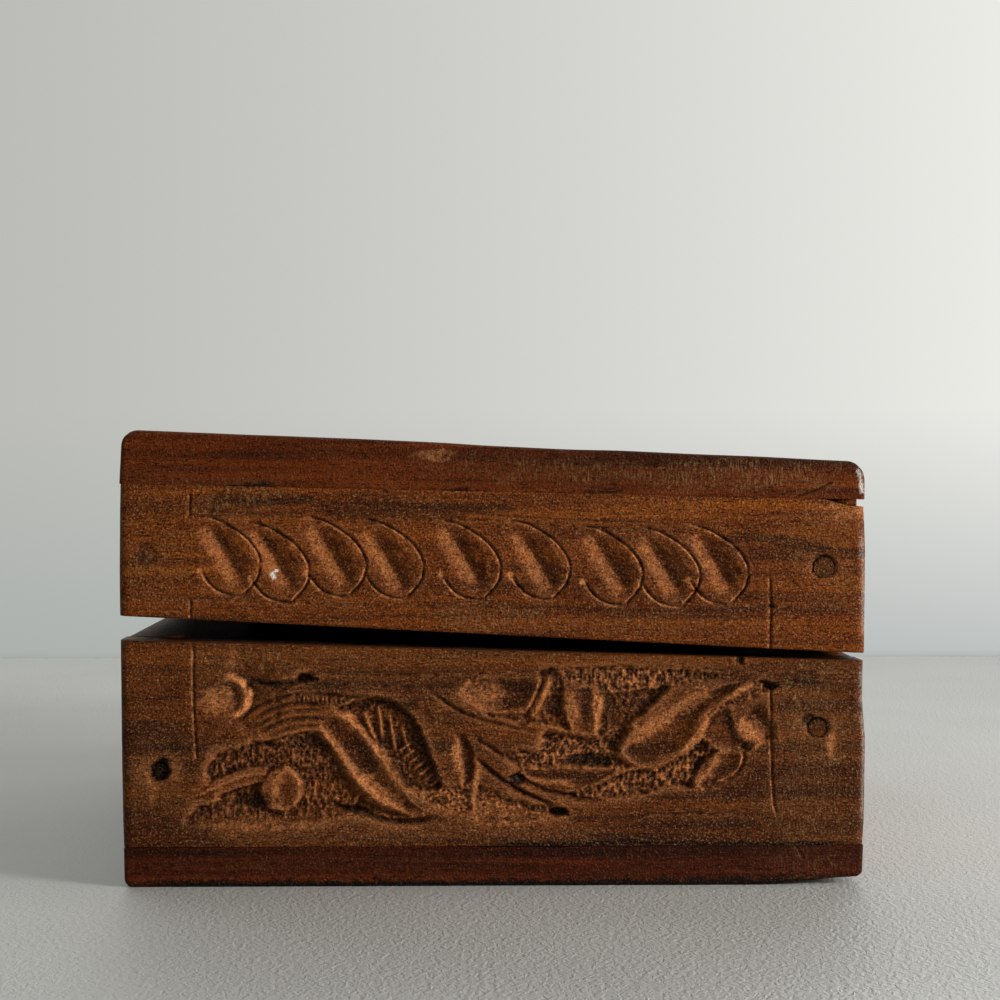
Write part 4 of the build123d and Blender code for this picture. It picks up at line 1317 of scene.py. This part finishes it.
def wood(name, along, tones, dusty_share, grit=1.0, gloss=0.42):
    """Old waxed hardwood, its grain running along axis 0 (X) or 1 (Y).

    tones are its four colours from dark to light, dusty_share is the share of pale dust that lies
    all over it, and grit the strength of its fine grain, whose pale specks also stand in for glints
    as painted highlights.
    """
    shader = Shader(name)
    times, plus, between, noise, mix = (
        shader.times, shader.plus, shader.between, shader.noise, shader.mix
    )
    slow = [0.035 if axis == along else 1.0 for axis in range(3)]
    short = [0.2 if axis == along else 1.0 for axis in range(3)]

    figure = noise(slow, 5.0, 4.0, 0.55, 0.6)
    streaks = noise(slow, 1.5, 3.0, 0.6, 0.3)
    tone = plus(times(figure, 0.55), times(streaks, 0.45))
    colour = shader.ramp(tone, *zip((0.36, 0.47, 0.55, 0.66), tones))
    lines = between(noise(slow, 0.5, 2.0, 0.5, 0.2), 0.58, 0.72)
    colour = mix(times(lines, 0.6), colour, tones[0])

    speckle = noise(even, 0.26, 1.0, 0.5)
    mottle = noise(even, 0.7, 2.0, 0.6)
    fibre = noise(short, 0.3, 2.0, 0.6)
    curl = noise(even, 0.2, 1.0, 0.5, 1.5)
    cloudy = times(between(noise(even, 9.0, 3.0, 0.6, 0.5), 0.45, 0.68), dusty_share)
    scratches = between(noise((1.0, 1.0, 0.16), 0.26, 2.0, 0.6), 0.46, 0.62, 0.1, 1.0)
    dust = shader.math("MAXIMUM", cloudy, times(shader.share("dust"), scratches))
    dust = times(dust, between(mottle, 0.36, 0.6, 0.2, 1.0))
    colour = mix(dust, colour, dust_colour)

    # Bare wood with painted highlights, painted shade in the hollows, and dirt with painted shade.
    raw = shader.share("raw")
    colour = mix(times(raw, between(mottle, 0.34, 0.6, 0.4, 1.0)), colour, raw_wood_and_highlight)
    colour = mix(times(shader.share("ridge"), 0.3), colour, raw_wood_and_highlight)
    colour = mix(times(shader.share("cavity"), 0.8), colour, painted_hollow_shade)
    colour = mix(shader.share("stain"), colour, dirt_and_shade_colour)

    fine = plus(plus(times(speckle, 0.45), times(fibre, 0.15)), times(curl, 0.4))
    colour = mix(times(between(fine, 0.46, 0.36), grit), colour, grit_shadow, "MULTIPLY")
    # Pale specks of the grain, which also stand in for glints as painted highlights.
    colour = mix(times(between(fine, 0.54, 0.68), grit), colour, pale_grit_and_glint, "ADD")
    pores = between(noise(short, 0.15, 2.0, 0.5), 0.61, 0.68)
    colour = mix(times(pores, 0.8), colour, pore_colour)
    # White paint, and painted highlights on the right arrises.
    paint_and_highlight_share = times(shader.share("paint"), between(speckle, 0.35, 0.55, 0.4, 1.0))
    colour = mix(paint_and_highlight_share, colour, paint_and_highlight_colour)

    roughness = between(fibre, 0.3, 0.7, gloss - 0.06, gloss + 0.1)
    roughness = plus(roughness, times(raw, 0.3), clamp=True)
    relief = plus(plus(times(fibre, 0.5), times(speckle, 0.7)), times(mottle, 0.6))
    relief = shader.math("SUBTRACT", relief, times(pores, 0.8))
    return shader.with_surface(Base_Color=colour, Roughness=roughness,
                         Specular_IOR_Level=wood_shine, Normal=shader.bump(relief, 0.26))


box_tones = [linear(46, 17, 4), linear(78, 35, 7), linear(99, 47, 10), linear(122, 62, 15)]
lid_tones = [linear(58, 22, 5), linear(100, 45, 8), linear(124, 60, 12), linear(146, 77, 18)]
top_tones = [linear(52, 18, 4), linear(82, 32, 5), linear(100, 42, 7), linear(120, 54, 12)]
bottom_tones = [linear(26, 6, 3), linear(52, 15, 4), linear(68, 22, 5), linear(92, 36, 9)]

wall_woods = {
    (body, along): wood(f"{body}_wood_along_{'xy'[along]}", along, tones, 0.12, grit=1.35)
    for body, tones in (("box", box_tones), ("lid", lid_tones))
    for along in (0, 1)
}
top_wood = wood("top_board_wood", 0, top_tones, 0.06, grit=0.42, gloss=0.38)
bottom_wood = wood("bottom_board_wood", 0, bottom_tones, 0.04, grit=0.42, gloss=0.38)
peg_wood = wood("peg_end_grain", 1, box_tones, 0.6)

for along, walls in enumerate((end_walls, side_walls)):
    for piece in walls:
        piece.data.materials.append(wall_woods[piece.name[:3], along])
for piece, material in ((top_board, top_wood), (bottom_board, bottom_wood),
                        *((piece, peg_wood) for piece in peg_pieces)):
    piece.data.materials.append(material)


def brass(name):
    """Aged brass: dull and brown in some patches, brighter and smoother in others."""
    shader = Shader(name)
    patina = shader.noise(even, 1.4, 4.0, 0.6)
    fine = shader.noise(even, 0.2, 3.0, 0.6)
    colour = shader.ramp(patina, (0.35, linear(112, 84, 44)), (0.5, linear(142, 110, 60)),
                         (0.65, linear(162, 130, 76)))
    return shader.with_surface(Base_Color=colour, Metallic=1.0, Normal=shader.bump(fine, 0.03),
                         Roughness=shader.between(patina, 0.3, 0.7, 0.55, 0.32))


aged_brass = brass("aged_brass")

for name, node in frame["nodes"].items():
    if "hinge" in name or "screws" in name:
        node.material_slots[0].material = aged_brass


# ---------------------------------------------------------------- stage, lights and camera
table_end = 332.0  # from the box's middle to the foot of the wall behind it
stage_reach = 3000  # of the table and the wall, to each side
wall_height = 2000


def stage_plane(name, corners, material):
    plane = mesh_object(name, corners, [(0, 1, 2, 3)], {})
    plane.data.materials.append(material)
    return plane


def table_material():
    shader = Shader("pale_table")
    leather = shader.noise((1.0, 0.6, 1.0), 0.8, 2.0, 0.55, 0.8)
    clouds = shader.noise(even, 60.0, 2.0, 0.5)
    colour = shader.ramp(clouds, (0.3, linear(207, 207, 202)), (0.7, linear(215, 215, 210)))
    return shader.with_surface(Base_Color=colour, Roughness=0.45, Specular_IOR_Level=0.5,
                         Normal=shader.bump(leather, 0.2))


def wall_material():
    """The wall glows with painted light, brighter to the right and upwards, with painted shade at
    its foot; seen by camera and glossy surfaces, from the front only.
    """
    shader = Shader("pale_wall")
    position = shader.node("ShaderNodeTexCoord").outputs["Object"]
    split = shader.node("ShaderNodeSeparateXYZ", {0: position})
    # Painted light: brighter towards the right and towards the top.
    across = shader.between(split.outputs["X"], -190 * MM, 190 * MM)
    across = shader.math("POWER", across, 1.55)
    up = shader.between(split.outputs["Z"], 0.0, 75 * MM)
    high = shader.mix(across, linear(185, 186, 181), linear(241, 241, 236))
    low = shader.mix(across, linear(171, 176, 172), linear(191, 195, 194))
    # Painted shade along the foot of the wall.
    foot = shader.between(split.outputs["Z"], 2 * MM, -1 * MM, 0.0, 0.5)
    colour = shader.mix(foot, shader.mix(up, low, high), linear(150, 152, 150))
    glow = shader.node("ShaderNodeEmission", {"Color": colour})
    clear = shader.node("ShaderNodeBsdfTransparent")
    behind = shader.node("ShaderNodeNewGeometry").outputs["Backfacing"]
    seen = shader.node("ShaderNodeMixShader", {"Fac": behind})
    shader.links.new(glow.outputs[0], seen.inputs[1])
    shader.links.new(clear.outputs[0], seen.inputs[2])
    shader.links.new(seen.outputs[0], shader.output.inputs["Surface"])
    return shader.material


stage_plane("table", [(-stage_reach, -stage_reach, 0), (stage_reach, -stage_reach, 0),
                      (stage_reach, stage_reach, 0), (-stage_reach, stage_reach, 0)],
            table_material())
backdrop = stage_plane("backdrop", [(-stage_reach, table_end, -1), (stage_reach, table_end, -1),
                                    (stage_reach, table_end, wall_height),
                                    (-stage_reach, table_end, wall_height)], wall_material())
backdrop.visible_shadow = False
backdrop.visible_diffuse = False


def area_light(name, place, target, size, power, colour=(1.0, 1.0, 1.0)):
    lamp = bpy.data.lights.new(name, "AREA")
    lamp.shape = "RECTANGLE"
    lamp.size, lamp.size_y = (part * MM for part in size)
    lamp.energy = power
    lamp.color = colour
    holder = linked(name, lamp)
    holder.location = Vector(place) * MM
    holder.rotation_mode = "QUATERNION"
    holder.rotation_quaternion = (Vector(target) - Vector(place)).to_track_quat("-Z", "Y")


area_light("key", (600, -430, 215), (0, -76, 30), (240, 240), 4.4, (1.0, 0.98, 0.94))
area_light("back", (-120, 760, 520), (0, 0, 0), (1300, 500), 3.9, (0.99, 1.0, 1.0))
area_light("fill", (-150, -900, 420), (0, -50, 20), (900, 700), 0.8)
area_light("rim", (620, -30, 150), (51, -70, 35), (160, 160), 1.2)

world = bpy.data.worlds.new("studio")
bpy.context.scene.world = world
world.use_nodes = True
room_light = world.node_tree.nodes["Background"].inputs
room_light["Color"].default_value = linear(200, 203, 202)
room_light["Strength"].default_value = 0.22

camera_place = Vector((-4.6, -419.1, 58.0))
camera_yaw = math.radians(0.95)
camera_pitch = math.radians(-0.812)
camera_roll = math.radians(-0.065)
camera_data = bpy.data.cameras.new("camera")
camera_data.lens = 90.0
camera_data.sensor_width = 36.0
camera_data.clip_start = 0.01
camera = linked("camera", camera_data)
camera.matrix_world = (
    Matrix.Translation(camera_place * MM) @ Matrix.Rotation(-camera_yaw, 4, "Z")
    @ Matrix.Rotation(math.pi / 2 + camera_pitch, 4, "X") @ Matrix.Rotation(camera_roll, 4, "Z")
)
bpy.context.scene.camera = camera
bpy.context.scene.view_settings.view_transform = "Standard"
